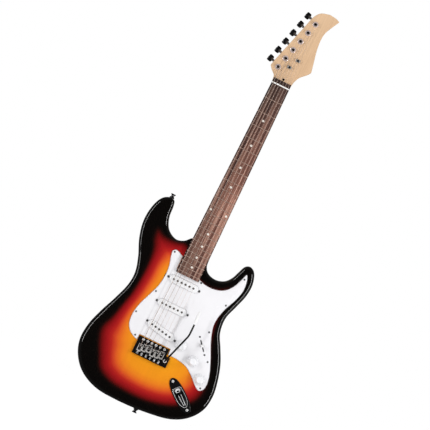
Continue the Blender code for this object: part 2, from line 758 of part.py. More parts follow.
def make_tremolo():
    profile = [(-636.2, 1.8), (-641.0, PLATE_BOTTOM), (-677.8, PLATE_BOTTOM), (-677.8, 9.6),
               (-675.6, 9.6), (-675.6, PLATE_TOP), (-636.2, PLATE_TOP)]
    sections = []
    for x in (-38.5, 35.5):
        sections.append([Vector((x, y, z)) for y, z in profile])
    plate = piece("tremolo_plate", sections, black_metal, (0, PIVOT_Y, PLATE_BOTTOM), tremolo)
    join(plate, "arm_boss", box(30, 45.4, -677.8, -653.4, PLATE_BOTTOM, PLATE_TOP))
    cut(plate, "arm_hole", extruded(circle(*ARM_HOLE, 2.6, 8), -4, 8))
    for string in range(1, 7):
        x = string_x(string, BRIDGE_PITCH, BRIDGE_CENTRE)
        cut(plate, f"string_hole_{string}", extruded(circle(x, STRING_HOLE_Y, 2.2, 8), -4, 8))
        cut(plate, f"pivot_hole_{string}", extruded(circle(x, PIVOT_Y, 1.9, 8), -4, 8))

    block = piece("tremolo_block", box(-34, 33, -667, -650, -38, 0.1), steel,
                  (0, PIVOT_Y, PLATE_BOTTOM), tremolo)
    join(block, "arm_lug", box(28, 42.6, -671.5, -656.5, -22, 0.1))
    cut(block, "arm_socket", extruded(circle(*ARM_HOLE, 2.6, 8), -18, 4))
    for string in range(1, 7):
        x = string_x(string, BRIDGE_PITCH, BRIDGE_CENTRE)
        cut(block, f"string_bore_{string}", extruded(circle(x, STRING_HOLE_Y, 1.7, 8), -44, 4))


def saddle_rings(x, front, crest):
    """Bent steel saddle: a front leg up to the crest, a roof that falls back, and a rear leg."""
    rear = front - SADDLE_LENGTH
    foot = PLATE_TOP + GAP
    profile = [
        (front, foot), (front, crest), (front - 1.6, crest), (front - 3.2, crest - 1.3),
        (rear, crest - 2.6), (rear, foot), (rear + 1.8, foot), (rear + 1.8, crest - 4.0),
        (front - 2.4, crest - 3.0), (front - 1.8, foot),
    ]
    return [[Vector((x + side * 4.95, y, z)) for y, z in profile] for side in (-1, 1)]


def make_saddle(string):
    x = string_x(string, BRIDGE_PITCH, BRIDGE_CENTRE)
    front = SADDLE_FRONTS[string - 1]
    crest = SADDLE_CREST - radius_drop(x)
    saddle = piece(f"saddle_{string}", saddle_rings(x, front, crest), steel, (x, front, crest), tremolo)
    window = box(x - 2.0, x + 2.0, front - 12.5, front - 2.6, 6.5, 20)
    cut(saddle, f"saddle_window_{string}", window)


def make_arm():
    """Whammy bar: up out of the block, over the controls and along the strings to its grip."""
    x, y = ARM_HOLE
    upright = [(x, y, -16), (x, y, 10)]
    sweep = smooth([(x, y, 10), (x + 1.2, y + 3.5, 16), (x + 4.5, y + 14, 22), (x + 10, y + 34, 26),
                    (60, -593, 28.5), (61.4, -575, 29), (61, -550, 28.6), (59.4, -530.5, 28)], 3)
    wire("tremolo_arm", upright + sweep[1:], 2.1, black_metal, (x, y, PLATE_TOP), tremolo, 2)


def make_springs():
    """Claw with its two long screws, and three springs stretched from it to the block."""
    claw = piece("spring_claw", box(-27, 27, -561, -559, -43, -31), steel)
    for side in (-1, 1):
        screw = rod_rings((side * 14, -562.6, SPRING_AXIS_Z), (side * 14, -534, SPRING_AXIS_Z), 2.0, 8)
        join(claw, f"claw_screw_{side + 1}", screw)
    coil = [(1.0, 561.4), (1.0, 566), (4.1, 567), (4.1, 642), (1.0, 643.5), (1.0, 649.6)]
    for number, x in enumerate((-22, 0, 22)):
        frame = Matrix.Translation((x, 0, SPRING_AXIS_Z)) @ Matrix.Rotation(math.pi / 2, 4, "X")
        oriented(f"tremolo_spring_{number + 1}", turned(coil, 8), steel, frame)


def make_spring_cover():
    back = -BODY_DEPTH - GAP
    outline = rounded(0, -613, 83, 140, 6, 2)
    cover = piece("spring_cover", extruded(outline, back - 1.7, back), white_plastic)
    cut(cover, "string_window", extruded(rounded(0, -659, 66, 14, 6.5, 2), back - 4, back + 4))


# --- strings and strap buttons --------------------------------------------------------------


def string_route(string):
    """From the wrap round its post, under the tree, over nut and saddle, into the block."""
    radius = STRING_RADII[string - 1]
    centre = tuner_posts()[6 - string]
    wrap = 2.6 + GAP + radius + 0.2
    steps = 8
    points = []
    for step in range(steps + 1):
        angle = -math.tau * step / steps
        height = 4.7 - (2 * radius + 0.5) * step / steps
        points.append((centre.x + wrap * math.cos(angle), centre.y + wrap * math.sin(angle), height))
    nut_x = string_x(string, NUT_PITCH)
    leave = Vector(points[-1])
    nut = Vector((nut_x, 0.8, NUT_TOP + GAP + radius - radius_drop(nut_x)))
    tree = {1: 67.5, 2: 67.5, 3: 46.5, 4: 46.5}.get(string)
    if tree:
        share = (leave.y - tree) / (leave.y - nut.y)
        hold = leave.lerp(nut, share)
        points.append((hold.x, hold.y, 2.6))
    bridge_x = string_x(string, BRIDGE_PITCH, BRIDGE_CENTRE)
    crest = SADDLE_CREST - radius_drop(bridge_x) + GAP + radius
    front = SADDLE_FRONTS[string - 1]
    points += [nut, (bridge_x, front - 0.2, crest), (bridge_x, front - 1.7, crest),
               (bridge_x, front - 4.6, crest - 2.4), (bridge_x, STRING_HOLE_Y, 2.4),
               (bridge_x, STRING_HOLE_Y, -37)]
    return points


def make_strings():
    for string, radius in enumerate(STRING_RADII, 1):
        wire(f"string_{string}", string_route(string), radius, string_steel)


def make_strap_buttons():
    button = [(1.9, -17), (1.9, 0.0), (5.0, 0.0), (5.0, 1.2), (3.4, 3.6), (3.6, 6.2), (5.6, 7.4),
              (5.8, 8.6), (5.2, 9.4)]
    for name, (x, y), turn in (("horn_strap_button", HORN_BUTTON, -1), ("tail_strap_button", TAIL_BUTTON, 1)):
        frame = Matrix.Translation((x, y, BUTTON_Z)) @ Matrix.Rotation(turn * math.pi / 2, 4, "X")
        oriented(name, turned(button), chrome, frame)


# --- the whole guitar -----------------------------------------------------------------------

clear_scene()
guitar = empty("guitar")
guitar.rotation_euler = (math.pi / 2, 0, 0)
tremolo = empty("tremolo", (0, PIVOT_Y, PLATE_BOTTOM), guitar)

tool_finish = material("tool", (0.8, 0.2, 0.8), 0.5)
sunburst = material("sunburst_lacquer", (0.62, 0.2, 0.03), 0.12)
maple = material("maple", (0.75, 0.52, 0.3), 0.35)
rosewood = material("rosewood", (0.09, 0.045, 0.03), 0.55)
bone = material("bone", (0.88, 0.86, 0.78), 0.4)
white_plastic = material("white_plastic", (0.86, 0.86, 0.84), 0.3)
black_plastic = material("black_plastic", (0.015, 0.015, 0.016), 0.3)
black_metal = material("black_metal", (0.02, 0.02, 0.022), 0.35, 0.6)
black_gloss = material("black_gloss", (0.012, 0.012, 0.013), 0.12, 0.5)
chrome = material("chrome", (0.8, 0.8, 0.8), 0.12, 1.0)
steel = material("steel", (0.45, 0.45, 0.46), 0.35, 1.0)
string_steel = material("string_steel", (0.6, 0.59, 0.57), 0.3, 1.0)

make_body()
make_neck()
make_fingerboard()
make_nut()
make_neck_plate()
for step, post in enumerate(tuner_posts()):
    make_tuner(6 - step, post)
make_pickguard()
for pickup, (x, y, angle, top) in PICKUPS.items():
    make_pickup(pickup, x, y, angle, top)
for control, (x, y) in KNOBS.items():
    make_control(control, x, y)
make_switch()
make_jack()
make_tremolo()
for string in range(1, 7):
    make_saddle(string)
make_arm()
make_springs()
make_spring_cover()
make_strings()
make_strap_buttons()
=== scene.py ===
"""The looks of the electric guitar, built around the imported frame.

Everything is modelled in the bench frame of the construction, in millimetres: x points to the
treble side, y from the nut to the headstock (so the body has negative y), z out of the face.
In the world the headstock points to +Z and the face to -Y.
"""

import json
from math import atan2, copysign, cos, pi, radians, sin, tau

import bmesh
import bpy
import numpy as np
from mathutils import Matrix, Vector
from mathutils.geometry import delaunay_2d_cdt


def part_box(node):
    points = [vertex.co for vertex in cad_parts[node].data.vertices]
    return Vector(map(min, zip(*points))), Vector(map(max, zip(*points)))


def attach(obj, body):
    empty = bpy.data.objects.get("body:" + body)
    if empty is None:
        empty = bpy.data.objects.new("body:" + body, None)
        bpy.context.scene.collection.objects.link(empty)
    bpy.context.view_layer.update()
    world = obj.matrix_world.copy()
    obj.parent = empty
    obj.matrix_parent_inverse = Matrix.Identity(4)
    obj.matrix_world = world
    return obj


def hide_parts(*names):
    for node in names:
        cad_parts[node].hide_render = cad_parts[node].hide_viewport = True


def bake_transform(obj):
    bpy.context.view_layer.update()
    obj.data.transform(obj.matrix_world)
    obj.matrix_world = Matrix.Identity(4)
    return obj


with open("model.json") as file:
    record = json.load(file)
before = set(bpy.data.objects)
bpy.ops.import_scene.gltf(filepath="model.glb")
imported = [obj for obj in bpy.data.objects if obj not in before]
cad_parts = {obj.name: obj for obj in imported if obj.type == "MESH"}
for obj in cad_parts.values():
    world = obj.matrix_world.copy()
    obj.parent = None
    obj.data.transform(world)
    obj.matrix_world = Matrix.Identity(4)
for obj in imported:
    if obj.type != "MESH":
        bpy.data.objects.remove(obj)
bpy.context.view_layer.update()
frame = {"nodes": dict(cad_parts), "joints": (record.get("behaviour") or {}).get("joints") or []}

JOINTS = {joint["name"]: joint for joint in frame["joints"]}
SCENE = bpy.context.scene

MM = 0.001
GAP = 0.3  # that the plates keep from what they lie on
QUARTER = pi / 2
BENCH = Matrix.Rotation(QUARTER, 4, "X") @ Matrix.Scale(MM, 4)

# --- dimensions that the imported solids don't tell ---

SCALE_LENGTH = 648
FRETS = 22
STRINGS = range(1, 7)  # 1 is the high one, on the treble side
STRING_RADII = (0.2, 0.22, 0.26, 0.36, 0.47, 0.584)
NUT_PITCH = 7
BRIDGE_PITCH = 10.4
BRIDGE_CENTRE = -0.5

BODY_DEPTH = 45
BODY_EDGE = 9
ARM_SOFTENING = 12
BODY_POINTS = 420
EDGE_STEPS = 8
RIM_MARGIN = 2.5  # an even flat ring inside the rim keeps reflections straight there
RIM_SHARE, MARGIN_SHARE = 0.76, 0.1  # most that the rim and this ring take where room is short
CAP_GRID = 6

BOARD_TOP = 9.5
BOARD_UNDERSIDE = 4.8
BOARD_RADIUS = 241
BOARD_HEAD_END = 12
BOARD_BODY_END = -473
NUT_TOP = 11.2

NECK_TOP = 4.5
HEEL_END = -466.3
HEEL_BACK = -15.9
HEAD_FACE = -1.6
HEAD_BACK = -15.9
NUT_HALF_WIDTH = 21.5
NECK_TAPER = 0.01351

GUARD_TOP = 2.5
BACK = -BODY_DEPTH - GAP  # where the plates on the back start
PIVOT_Y = -641
PLATE_BOTTOM = 0.4
PLATE_TOP = 3.2
SADDLE_CREST = 13
SADDLE_LENGTH = 17
SADDLE_SCREW_Z = 6.6
SADDLE_TRAVEL_BACK = 3
STRING_HOLE_Y = -657

SWITCH_ANGLE = atan2(-0.764, 0.645)
JACK_CENTRE = (101.5, -718.5)
JACK_LINE_ANGLE = radians(-38.3)


def bench(point):
    return BENCH @ Vector(point)


def to_bench(place):
    """A place in the world, in metres, as bench millimetres."""
    return Vector((place[0], place[2], -place[1])) / MM


def bench_box(node):
    """Lowest and highest corner of a CAD node, and its middle."""
    low, high = (to_bench(corner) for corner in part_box(node))
    low, high = Vector(map(min, low, high)), Vector(map(max, low, high))
    return low, high, (low + high) / 2


def pivot_of(joint):
    return to_bench(JOINTS[joint]["pos_m"])


# --- curves and outlines ---


def smooth(points, steps, closed=False):
    """Centripetal Catmull-Rom curve through the points, with some samples on each stretch."""
    knots = [Vector(point) for point in points]
    if closed:
        padded = [knots[-1]] + knots + knots[:2]
    else:
        padded = [2 * knots[0] - knots[1]] + knots + [2 * knots[-1] - knots[-2]]
    curve = []
    for before, start, end, after in zip(padded, padded[1:], padded[2:], padded[3:]):
        t1 = (start - before).length ** 0.5
        t2 = t1 + (end - start).length ** 0.5
        t3 = t2 + (after - end).length ** 0.5
        for step in range(steps):
            t = t1 + (t2 - t1) * step / steps
            a = before.lerp(start, t / t1)
            b = start.lerp(end, (t - t1) / (t2 - t1))
            c = end.lerp(after, (t - t2) / (t3 - t2))
            curve.append(a.lerp(b, t / t2).lerp(b.lerp(c, (t - t1) / (t3 - t1)), (t - t1) / (t2 - t1)))
    return curve if closed else curve + [knots[-1]]


def evenly(loop, count):
    """The closed loop again, as a number of points at even distances along it."""
    ends = loop[1:] + loop[:1]
    lengths = [(end - start).length for start, end in zip(loop, ends)]
    pitch = sum(lengths) / count
    points, travelled, wanted = [], 0.0, 0.0
    for start, end, length in zip(loop, ends, lengths):
        while wanted < travelled + length and len(points) < count:
            points.append(start.lerp(end, (wanted - travelled) / length))
            wanted += pitch
        travelled += length
    return points


def around(sides):
    """(cosine, sine) of even steps round a full turn."""
    angles = [tau * side / sides for side in range(sides)]
    return [(cos(angle), sin(angle)) for angle in angles]


def circle(x, y, radius, sides=24):
    return [Vector((x + radius * cosine, y + radius * sine)) for cosine, sine in around(sides)]


def rounded(x, y, length, width, radius, steps=6, angle=0.0):
    """A rectangle with round corners, its length turned by the angle from the x axis."""
    turn, points = Matrix.Rotation(angle, 2), []
    for quarter, (side_x, side_y) in enumerate(((1, 1), (-1, 1), (-1, -1), (1, -1))):
        corner = Vector((side_x * (length / 2 - radius), side_y * (width / 2 - radius)))
        for step in range(steps + 1):
            way = QUARTER * (quarter + step / steps)
            offset = Vector((radius * cos(way), radius * sin(way)))
            points.append(Vector((x, y)) + turn @ (corner + offset))
    return points


def superellipse(half_x, half_y, power, sides=32):
    def reach(half, share):
        return half * copysign(abs(share) ** (2 / power), share)

    return [Vector((reach(half_x, cosine), reach(half_y, sine))) for cosine, sine in around(sides)]


def nearest_on(points, loop):
    """The nearest point of the closed loop to each point, both as arrays of (x, y)."""
    along = np.roll(loop, -1, axis=0) - loop
    offset = points[:, None, :] - loop[None, :, :]
    share = np.clip((offset * along).sum(2) / (along * along).sum(1), 0, 1)
    apart = share[..., None] * along - offset
    best = (apart ** 2).sum(2).argmin(1)
    return points + apart[np.arange(len(points)), best]


def as_array(loop):
    return np.array([tuple(point) for point in loop])


def inset(loop, distance):
    """The anticlockwise loop moved inwards; points bunch up where a corner sharpens."""
    moved = []
    for before, point, after in zip(loop[-1:] + loop[:-1], loop, loop[1:] + loop[:1]):
        along = (after - before).normalized()
        moved.append(point + distance * Vector((-along.y, along.x)))
    edge, places = as_array(loop), as_array(moved)
    for _ in range(4):
        foot = nearest_on(places, edge)
        apart = np.linalg.norm(places - foot, axis=1, keepdims=True)
        reach = np.maximum(apart, abs(distance)) / np.maximum(apart, 1e-9)
        places = foot + (places - foot) * reach
    return [Vector(place) for place in places]


def at_height(loop, z):
    return [(x, y, z) for x, y in loop]


def extruded(loop, z_low, z_high):
    return [at_height(loop, z_low), at_height(loop, z_high)]


def layered(loop, layers):
    """Rings of the loop, moved inwards and lifted for each (distance, height)."""
    return [at_height(inset(loop, distance), z) for distance, z in layers]


def turned(profile, sides=24):
    """Rings of a shape turned round the z axis, from a profile of (radius, height)."""
    return [at_height(circle(0, 0, radius, sides), height) for radius, height in profile]


def box(x_low, x_high, y_low, y_high, z_low, z_high):
    corners = [(x_low, y_low), (x_high, y_low), (x_high, y_high), (x_low, y_high)]
    return extruded(corners, z_low, z_high)


def blend(value, low, high):
    """0 below low, 1 above high and a smooth step between them."""
    share = min(max((value - low) / (high - low), 0.0), 1.0)
    return share * share * (3 - 2 * share)


def tube(path, radius, sides=10):
    """Rings of a round wire along the points; radius is a number or a list of one per point."""
    points = [Vector(point) for point in path]
    radii = radius if isinstance(radius, list) else [radius] * len(points)
    rings, side = [], None
    for before, point, after, size in zip(points[:1] + points, points, points[1:] + points[-1:], radii):
        along = (after - before).normalized()
        if side is None:
            side = along.orthogonal().normalized()
        side = (side - side.dot(along) * along).normalized()
        other = along.cross(side)
        rings.append([point + size * (side * cosine + other * sine) for cosine, sine in around(sides)])
    return rings


def coil(x, z, radius, start, end, turns, steps):
    """Path of a spring that winds along y."""
    path = []
    for step in range(turns * steps + 1):
        angle = tau * step / steps
        y = start + (end - start) * step / (turns * steps)
        path.append((x + radius * cos(angle), y, z + radius * sin(angle)))
    return path


def at(x, y, z=0.0, angle=0.0, axis="Z"):
    """Frame of a piece at a bench place, turned round an axis."""
    return Matrix.Translation((x, y, z)) @ Matrix.Rotation(angle, 4, axis)


FLIP = Matrix.Rotation(pi, 4, "X")  # for pieces that face backwards


# --- making pieces ---


def add(name, data):
    """A new object in the scene."""
    thing = bpy.data.objects.new(name, data)
    SCENE.collection.objects.link(thing)
    return thing


def skin(work, rings, frame_=Matrix(), closed=False, ring_materials=None):
    """Adds rings of vertices with faces between them; ring_materials has an index for each band."""
    to_world = BENCH @ frame_
    loops = [[work.verts.new(to_world @ Vector(point)) for point in ring] for ring in rings]
    for index, (low, high) in enumerate(zip(loops, loops[1:] + (loops[:1] if closed else []))):
        for side in range(len(low)):
            other = (side + 1) % len(low)
            face = work.faces.new((low[side], low[other], high[other], high[side]))
            face.material_index = ring_materials[index] if ring_materials else 0
    return loops


def done(work, name):
    """The work as a mesh."""
    mesh = bpy.data.meshes.new(name)
    work.to_mesh(mesh)
    work.free()
    return mesh


def mesh_of(name, rings, closed=False, frame_=Matrix(), ring_materials=None):
    """A mesh skinned over rings with equally many points, capped or joined to a closed tube."""
    work = bmesh.new()
    loops = skin(work, rings, frame_, closed, ring_materials)
    if not closed:
        work.faces.new(loops[0])
        work.faces.new(loops[-1])
    bmesh.ops.remove_doubles(work, verts=work.verts, dist=0.01 * MM)
    bmesh.ops.recalc_face_normals(work, faces=work.faces)
    if work.calc_volume(signed=True) < 0:
        bmesh.ops.reverse_faces(work, faces=work.faces)
    return done(work, name)


def shaded(mesh, angle):
    mesh.shade_smooth()
    mesh.set_sharp_from_angle(angle=radians(angle))
    return mesh


def show(name, mesh, finish, body="root", node=None, place=None):
    """Adds a piece, rides it on its body and hides the CAD node it stands for."""
    thing = add(name, mesh)
    if not mesh.materials:
        for one in finish if isinstance(finish, list) else [finish]:
            mesh.materials.append(one)
    if place is not None:
        thing.matrix_world = place
    if body:
        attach(thing, body)
    if node:
        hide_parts(node)
    return thing


def bevel(thing, width):
    step = thing.modifiers.new("bevel", "BEVEL")
    step.width = width * MM
    step.segments = 2
    step.limit_method = "ANGLE"
    step.angle_limit = radians(35)
    step.harden_normals = False


def solid(name, rings, finish, body="root", frame_=Matrix(), node=None, closed=False,
          edge=0.0, ring_materials=None, angle=35):
    """A piece skinned over rings in its own frame; edge is the radius of its bevelled edges."""
    mesh = shaded(mesh_of(name, rings, closed, frame_, ring_materials), angle)
    thing = show(name, mesh, finish, body, node)
    if edge:
        bevel(thing, edge)
    return thing


def carve(thing, shapes, finish=None, angle=35):
    """Cuts shapes, rings or (rings, frame), out of a piece; finish is what the cut walls show."""
    cutters = []
    for shape in shapes:
        rings, frame_ = shape if isinstance(shape, tuple) else (shape, Matrix())
        cutter = add("tool", mesh_of("tool", rings, False, frame_))
        cutter.data.materials.append(finish or thing.data.materials[0])
        cutters.append(cutter)
        step = thing.modifiers.new("cut", "BOOLEAN")
        step.operation = "DIFFERENCE"
        step.solver = "EXACT"
        step.object = cutter
        step.material_mode = "TRANSFER"
    graph = bpy.context.evaluated_depsgraph_get()
    work = bmesh.new()
    mesh = bpy.data.meshes.new_from_object(thing.evaluated_get(graph))
    work.from_mesh(mesh)
    bmesh.ops.dissolve_degenerate(work, dist=0.005 * MM, edges=work.edges)
    bmesh.ops.triangulate(work, faces=[face for face in work.faces if len(face.verts) > 4])
    bmesh.ops.dissolve_degenerate(work, dist=0.002 * MM, edges=work.edges)
    work.to_mesh(mesh)
    work.free()
    thing.modifiers.clear()
    thing.data = shaded(mesh, angle)
    for cutter in cutters:
        bpy.data.objects.remove(cutter, do_unlink=True)


# --- materials ---


def srgb(red, green, blue):
    """A screen colour, 0 to 255, as the linear colour that a shader takes."""
    shares = [value / 255 for value in (red, green, blue)]
    return tuple(s / 12.92 if s <= 0.04045 else ((s + 0.055) / 1.055) ** 2.4 for s in shares)


def scaled(colour, factor):
    return tuple(min(value * factor, 1.0) for value in colour)


def feed(socket, value):
    """Writes a plain value into the socket, or links the output that drives it."""
    if isinstance(value, bpy.types.NodeSocket):
        socket.id_data.links.new(value, socket)
    else:
        socket.default_value = (*value, 1) if socket.type == "RGBA" else value


class Nodes:
    """Adds nodes to a tree."""

    def __init__(self, tree):
        self.tree = tree

    def node(self, kind, inputs=None, **settings):
        """Outputs of a new node, with its settings made and its inputs fed."""
        made = self.tree.nodes.new("ShaderNode" + kind)
        for name, value in settings.items():
            setattr(made, name, value)
        for name, value in (inputs or {}).items():
            feed(made.inputs[name], value)
        return made.outputs

    def between(self, value, low, high, from_low=0.3, from_high=0.7):
        """The value spread over a new range."""
        return self.node("MapRange", {"Value": value, "From Min": from_low, "From Max": from_high,
                                      "To Min": low, "To Max": high})["Result"]

    def axes(self, vector):
        return self.node("SeparateXYZ", {"Vector": vector})


class Finish(Nodes):
    """A Principled material; underscores in the names of its sockets stand for spaces."""

    def __init__(self, name, colour, roughness, metallic=0.0, **sockets):
        self.material = bpy.data.materials.new(name)
        self.material.use_nodes = True
        super().__init__(self.material.node_tree)
        self.set(Base_Color=colour, Roughness=roughness, Metallic=metallic, **sockets)

    def set(self, **sockets):
        for name, value in sockets.items():
            feed(self.tree.nodes["Principled BSDF"].inputs[name.replace("_", " ")], value)

    def coordinates(self, stretch=(1, 1, 1)):
        """Object coordinates, scaled along each axis."""
        place = self.node("TexCoord")["Object"]
        return self.node("Mapping", {"Scale": stretch, "Vector": place})["Vector"]

    def noise(self, scale, detail=3, stretch=(1, 1, 1), distortion=0.0, roughness=0.5):
        return self.node("TexNoise", {"Scale": scale, "Detail": detail, "Distortion": distortion,
                                      "Roughness": roughness, "Vector": self.coordinates(stretch)})["Fac"]

    def ramp(self, value, *stops):
        """Colour ramp over (position, colour) stops."""
        output = self.node("ValToRGB", {"Fac": value})["Color"]
        elements = output.node.color_ramp.elements
        for element, (position, colour) in zip(elements, (stops[0], stops[-1])):
            element.position = position
            element.color = (*colour, 1)
        for position, colour in stops[1:-1]:
            elements.new(position).color = (*colour, 1)
        return output

    def patches(self, low, high, *noise):
        """Soft patches of two colours."""
        return self.ramp(self.noise(*noise), (0.3, low), (0.7, high))

    def times(self, colour, *factors):
        """The colour multiplied by each factor."""
        for factor in factors:
            colour = self.node("Mix", {0: 1.0, 6: colour, 7: factor}, data_type="RGBA",
                               blend_type="MULTIPLY")[2]
        return colour

    def bump(self, height, distance, strength):
        """Relief from the height; distance is in millimetres."""
        self.set(Normal=self.node("Bump", {"Strength": strength, "Distance": distance * MM,
                                           "Height": height})["Normal"])


BURST_END = 1.25  # 0 is black, 1 the start of the amber, which still brightens up to here
BURST_STOPS = [
    (0, srgb(7, 5, 4)), (0.05, srgb(24, 8, 6)), (0.1, srgb(60, 10, 9)), (0.16, srgb(100, 13, 13)),
    (0.24, srgb(134, 18, 21)), (0.34, srgb(158, 24, 27)), (0.45, srgb(180, 38, 30)),
    (0.55, srgb(205, 69, 36)), (0.66, srgb(222, 100, 34)), (0.8, srgb(232, 126, 33)),
    (1, srgb(238, 145, 30)), (BURST_END, srgb(245, 160, 29)),
]


def sunburst_finish():
    """Gloss lacquer over a burst from black through red to amber, with faint grain in the amber."""
    made = Finish("sunburst_lacquer", (0.5, 0.2, 0.05), 0.7, Coat_Weight=1.0, Coat_Roughness=0.02,
                  Coat_IOR=1.5, Specular_IOR_Level=0.0)
    share = made.axes(made.node("UVMap", uv_map="burst")["UV"])["X"]
    burst = made.ramp(share, *((stop / BURST_END, colour) for stop, colour in BURST_STOPS))
    grain = made.between(made.noise(90, 4, (1, 0.6, 0.07), 0.4), 0.965, 1.015)
    made.set(Base_Color=made.times(burst, grain))
    made.bump(made.noise(26, 2), 0.02, 0.25)
    return made.material


def cavity_finish():
    made = Finish("cavity_paint", (0.03, 0.028, 0.026), 0.8)
    made.set(Base_Color=made.patches(srgb(30, 28, 27), srgb(58, 54, 50), 160))
    made.bump(made.noise(900, 2), 0.15, 0.5)
    return made.material


def maple_finish():
    """Pale maple under a thin satin lacquer: long fine grain, a slow change of tone, flecks."""
    made = Finish("maple", srgb(226, 188, 150), 0.38, Coat_Weight=0.35, Coat_Roughness=0.18)
    slow = made.patches(srgb(217, 178, 139), srgb(231, 198, 161), 9, 2, (1, 1, 0.25))
    fibres = made.noise(420, 5, (1, 1, 0.035), 0.6)
    fleck = made.between(made.noise(1500, 2, (1, 1, 0.12)), 1.0, 0.93, 0.6, 0.75)
    made.set(Base_Color=made.times(slow, made.between(fibres, 0.9, 1.05), fleck),
             Roughness=made.between(made.noise(60), 0.34, 0.46))
    made.bump(fibres, 0.03, 0.3)
    return made.material


def rosewood_finish():
    """Brown rosewood: streaks along the board and short open pores, under painted light: a painted sheen
    about the middle, painted shade towards the nut and along the edges, and a treble side painted lighter
    than the bass side.
    """
    made = Finish("rosewood", srgb(92, 62, 52), 0.55)
    streaks = made.ramp(made.noise(250, 4, (1, 1, 0.018), 0.3, 0.62), (0.34, srgb(70, 34, 29)),
                        (0.45, srgb(122, 79, 65)), (0.55, srgb(156, 112, 95)), (0.68, srgb(212, 168, 148)))
    pores = made.between(made.noise(1300, 2, (1, 1, 0.05)), 1.0, 0.6, 0.58, 0.68)
    place = made.axes(made.coordinates())
    # painted sheen and painted shade along the board: lightest about the middle, darker towards the body,
    # darkest at the nut
    painted_sheen_tones = (0, 0.56), (0.2, 0.76), (0.42, 0.94), (0.62, 0.8), (0.85, 0.41), (0.955, 0.28), (0.98, 0.17)
    along = made.ramp(made.between(place["Z"], 0.0, 1.0, -0.475, 0.015),
                      *((share, (tone, 0.94 * tone, 0.92 * tone)) for share, tone in painted_sheen_tones))
    # painted light across the board: the bass side darker, the treble side lighter
    across = made.between(place["X"], 0.82, 1.26, -0.02, 0.016)
    # painted shade along both edges of the board
    aside = made.node("Math", {0: place["X"]}, operation="ABSOLUTE")["Value"]
    spread = made.node("Math", {0: place["Z"], 1: NECK_TAPER, 2: aside}, operation="MULTIPLY_ADD")["Value"]
    edge = NUT_HALF_WIDTH * MM
    edges = made.between(spread, 1.0, 0.34, edge - 0.0026, edge - 0.0014)
    made.set(Base_Color=made.times(streaks, along, across, edges, pores),
             Roughness=made.between(made.noise(300, 2), 0.46, 0.62))
    made.bump(pores, 0.08, 0.6)
    return made.material


def plastic(name, colour, roughness, texture=700, mottle=0.02, **sockets):
    """Moulded plastic with a very slight mottle, a fine skin and worn and polished areas."""
    colour = srgb(*colour)
    made = Finish(name, colour, roughness, **sockets)
    made.set(Base_Color=made.patches(scaled(colour, 1 - mottle), scaled(colour, 1 + mottle), 35),
             Roughness=made.between(made.noise(50, 4), roughness * 0.85, roughness * 1.25))
    made.bump(made.noise(texture, 2), 0.02, 0.3)
    return made.material


def metal(name, colour, roughness, scratches=0.2, metallic=1.0, stretch=(1, 1, 1), grain=900):
    """Metal with fine marks: brushed where stretch draws them out, plated where they are faint."""
    colour = srgb(*colour)
    made = Finish(name, colour, roughness, metallic)
    marks = made.noise(grain, 3, stretch)
    made.set(Base_Color=made.patches(scaled(colour, 0.93), colour, 120),
             Roughness=made.between(marks, roughness * 0.75, roughness * 1.3))
    made.bump(marks, 0.01, scratches)
    return made.material


def wound_finish():
    """Round-wound steel: fine windings across the string, with painted shade between them and a warm tint
    that is a painted reflection of the board.
    """
    made = Finish("wound_steel", srgb(190, 172, 162), 0.5, 0.6)
    wave = made.node("TexWave", {"Scale": 800, "Vector": made.coordinates()}, wave_type="BANDS",
                     bands_direction="Z")["Fac"]
    # darker bands between the windings: painted shade; the warm colours: painted reflection of the board
    made.set(Base_Color=made.ramp(wave, (0.1, srgb(140, 124, 114)), (0.7, srgb(212, 194, 182))))
    made.bump(wave, 0.06, 0.8)
    return made.material


def button_finish():
    """Black plating, with a painted glint: lighter grey painted into the middle of the button."""
    made = Finish("button_black", srgb(60, 60, 62), 0.34, 0.85)
    across = made.node("Mapping", {"Location": (-1, 0, -1), "Scale": (2, 0, 2),
                                   "Vector": made.node("TexCoord")["Generated"]})["Vector"]
    # painted glint: the grey grows lighter towards the middle of the button
    painted_glint = made.node("TexGradient", {"Vector": across}, gradient_type="SPHERICAL")["Fac"]
    made.set(Base_Color=made.ramp(painted_glint, (0.35, srgb(44, 44, 46)), (0.85, srgb(176, 176, 180))))
    made.bump(made.noise(900), 0.01, 0.1)
    return made.material


def pearl_finish():
    made = Finish("pearl_dot", srgb(240, 232, 220), 0.25, Coat_Weight=0.5, Coat_Roughness=0.1)
    made.set(Base_Color=made.patches(srgb(226, 214, 200), srgb(255, 250, 242), 700, 4, (1, 1, 1), 1.5))
    return made.material


def coil_finish():
    """Plated spring, near-white as a painted glint, with painted shade over its end where it meets its
    saddle.
    """
    bright = srgb(252, 252, 252)
    made = Finish("coil_chrome", bright, 0.2, 0.2)
    # painted shade over the last turns, next to the saddle
    painted_saddle_shade = made.between(made.axes(made.coordinates())["Z"], 0.0, 1.0, -0.6705, -0.6685)
    made.set(Base_Color=made.ramp(painted_saddle_shade, (0, bright), (1, srgb(64, 64, 66))))
    made.bump(made.noise(900), 0.01, 0.1)
    return made.material


sunburst = sunburst_finish()
cavity = cavity_finish()
maple = maple_finish()
rosewood = rosewood_finish()
bone = plastic("bone", (253, 252, 249), 0.3, 1200, 0.01)
guard_white = plastic("guard_white", (241, 240, 243), 0.22, 700, 0.01, Coat_Weight=0.4, Coat_Roughness=0.06)
guard_core = plastic("guard_core", (40, 40, 42), 0.4)
cover_white = plastic("pickup_cover_white", (240, 240, 242), 0.3, 700, 0.01)
knob_white = plastic("knob_white", (242, 242, 245), 0.25, 700, 0.01)
tip_white = plastic("tip_white", (240, 240, 240), 0.3)
tick_grey = plastic("tick_grey", (150, 152, 156), 0.5)
button_black = button_finish()
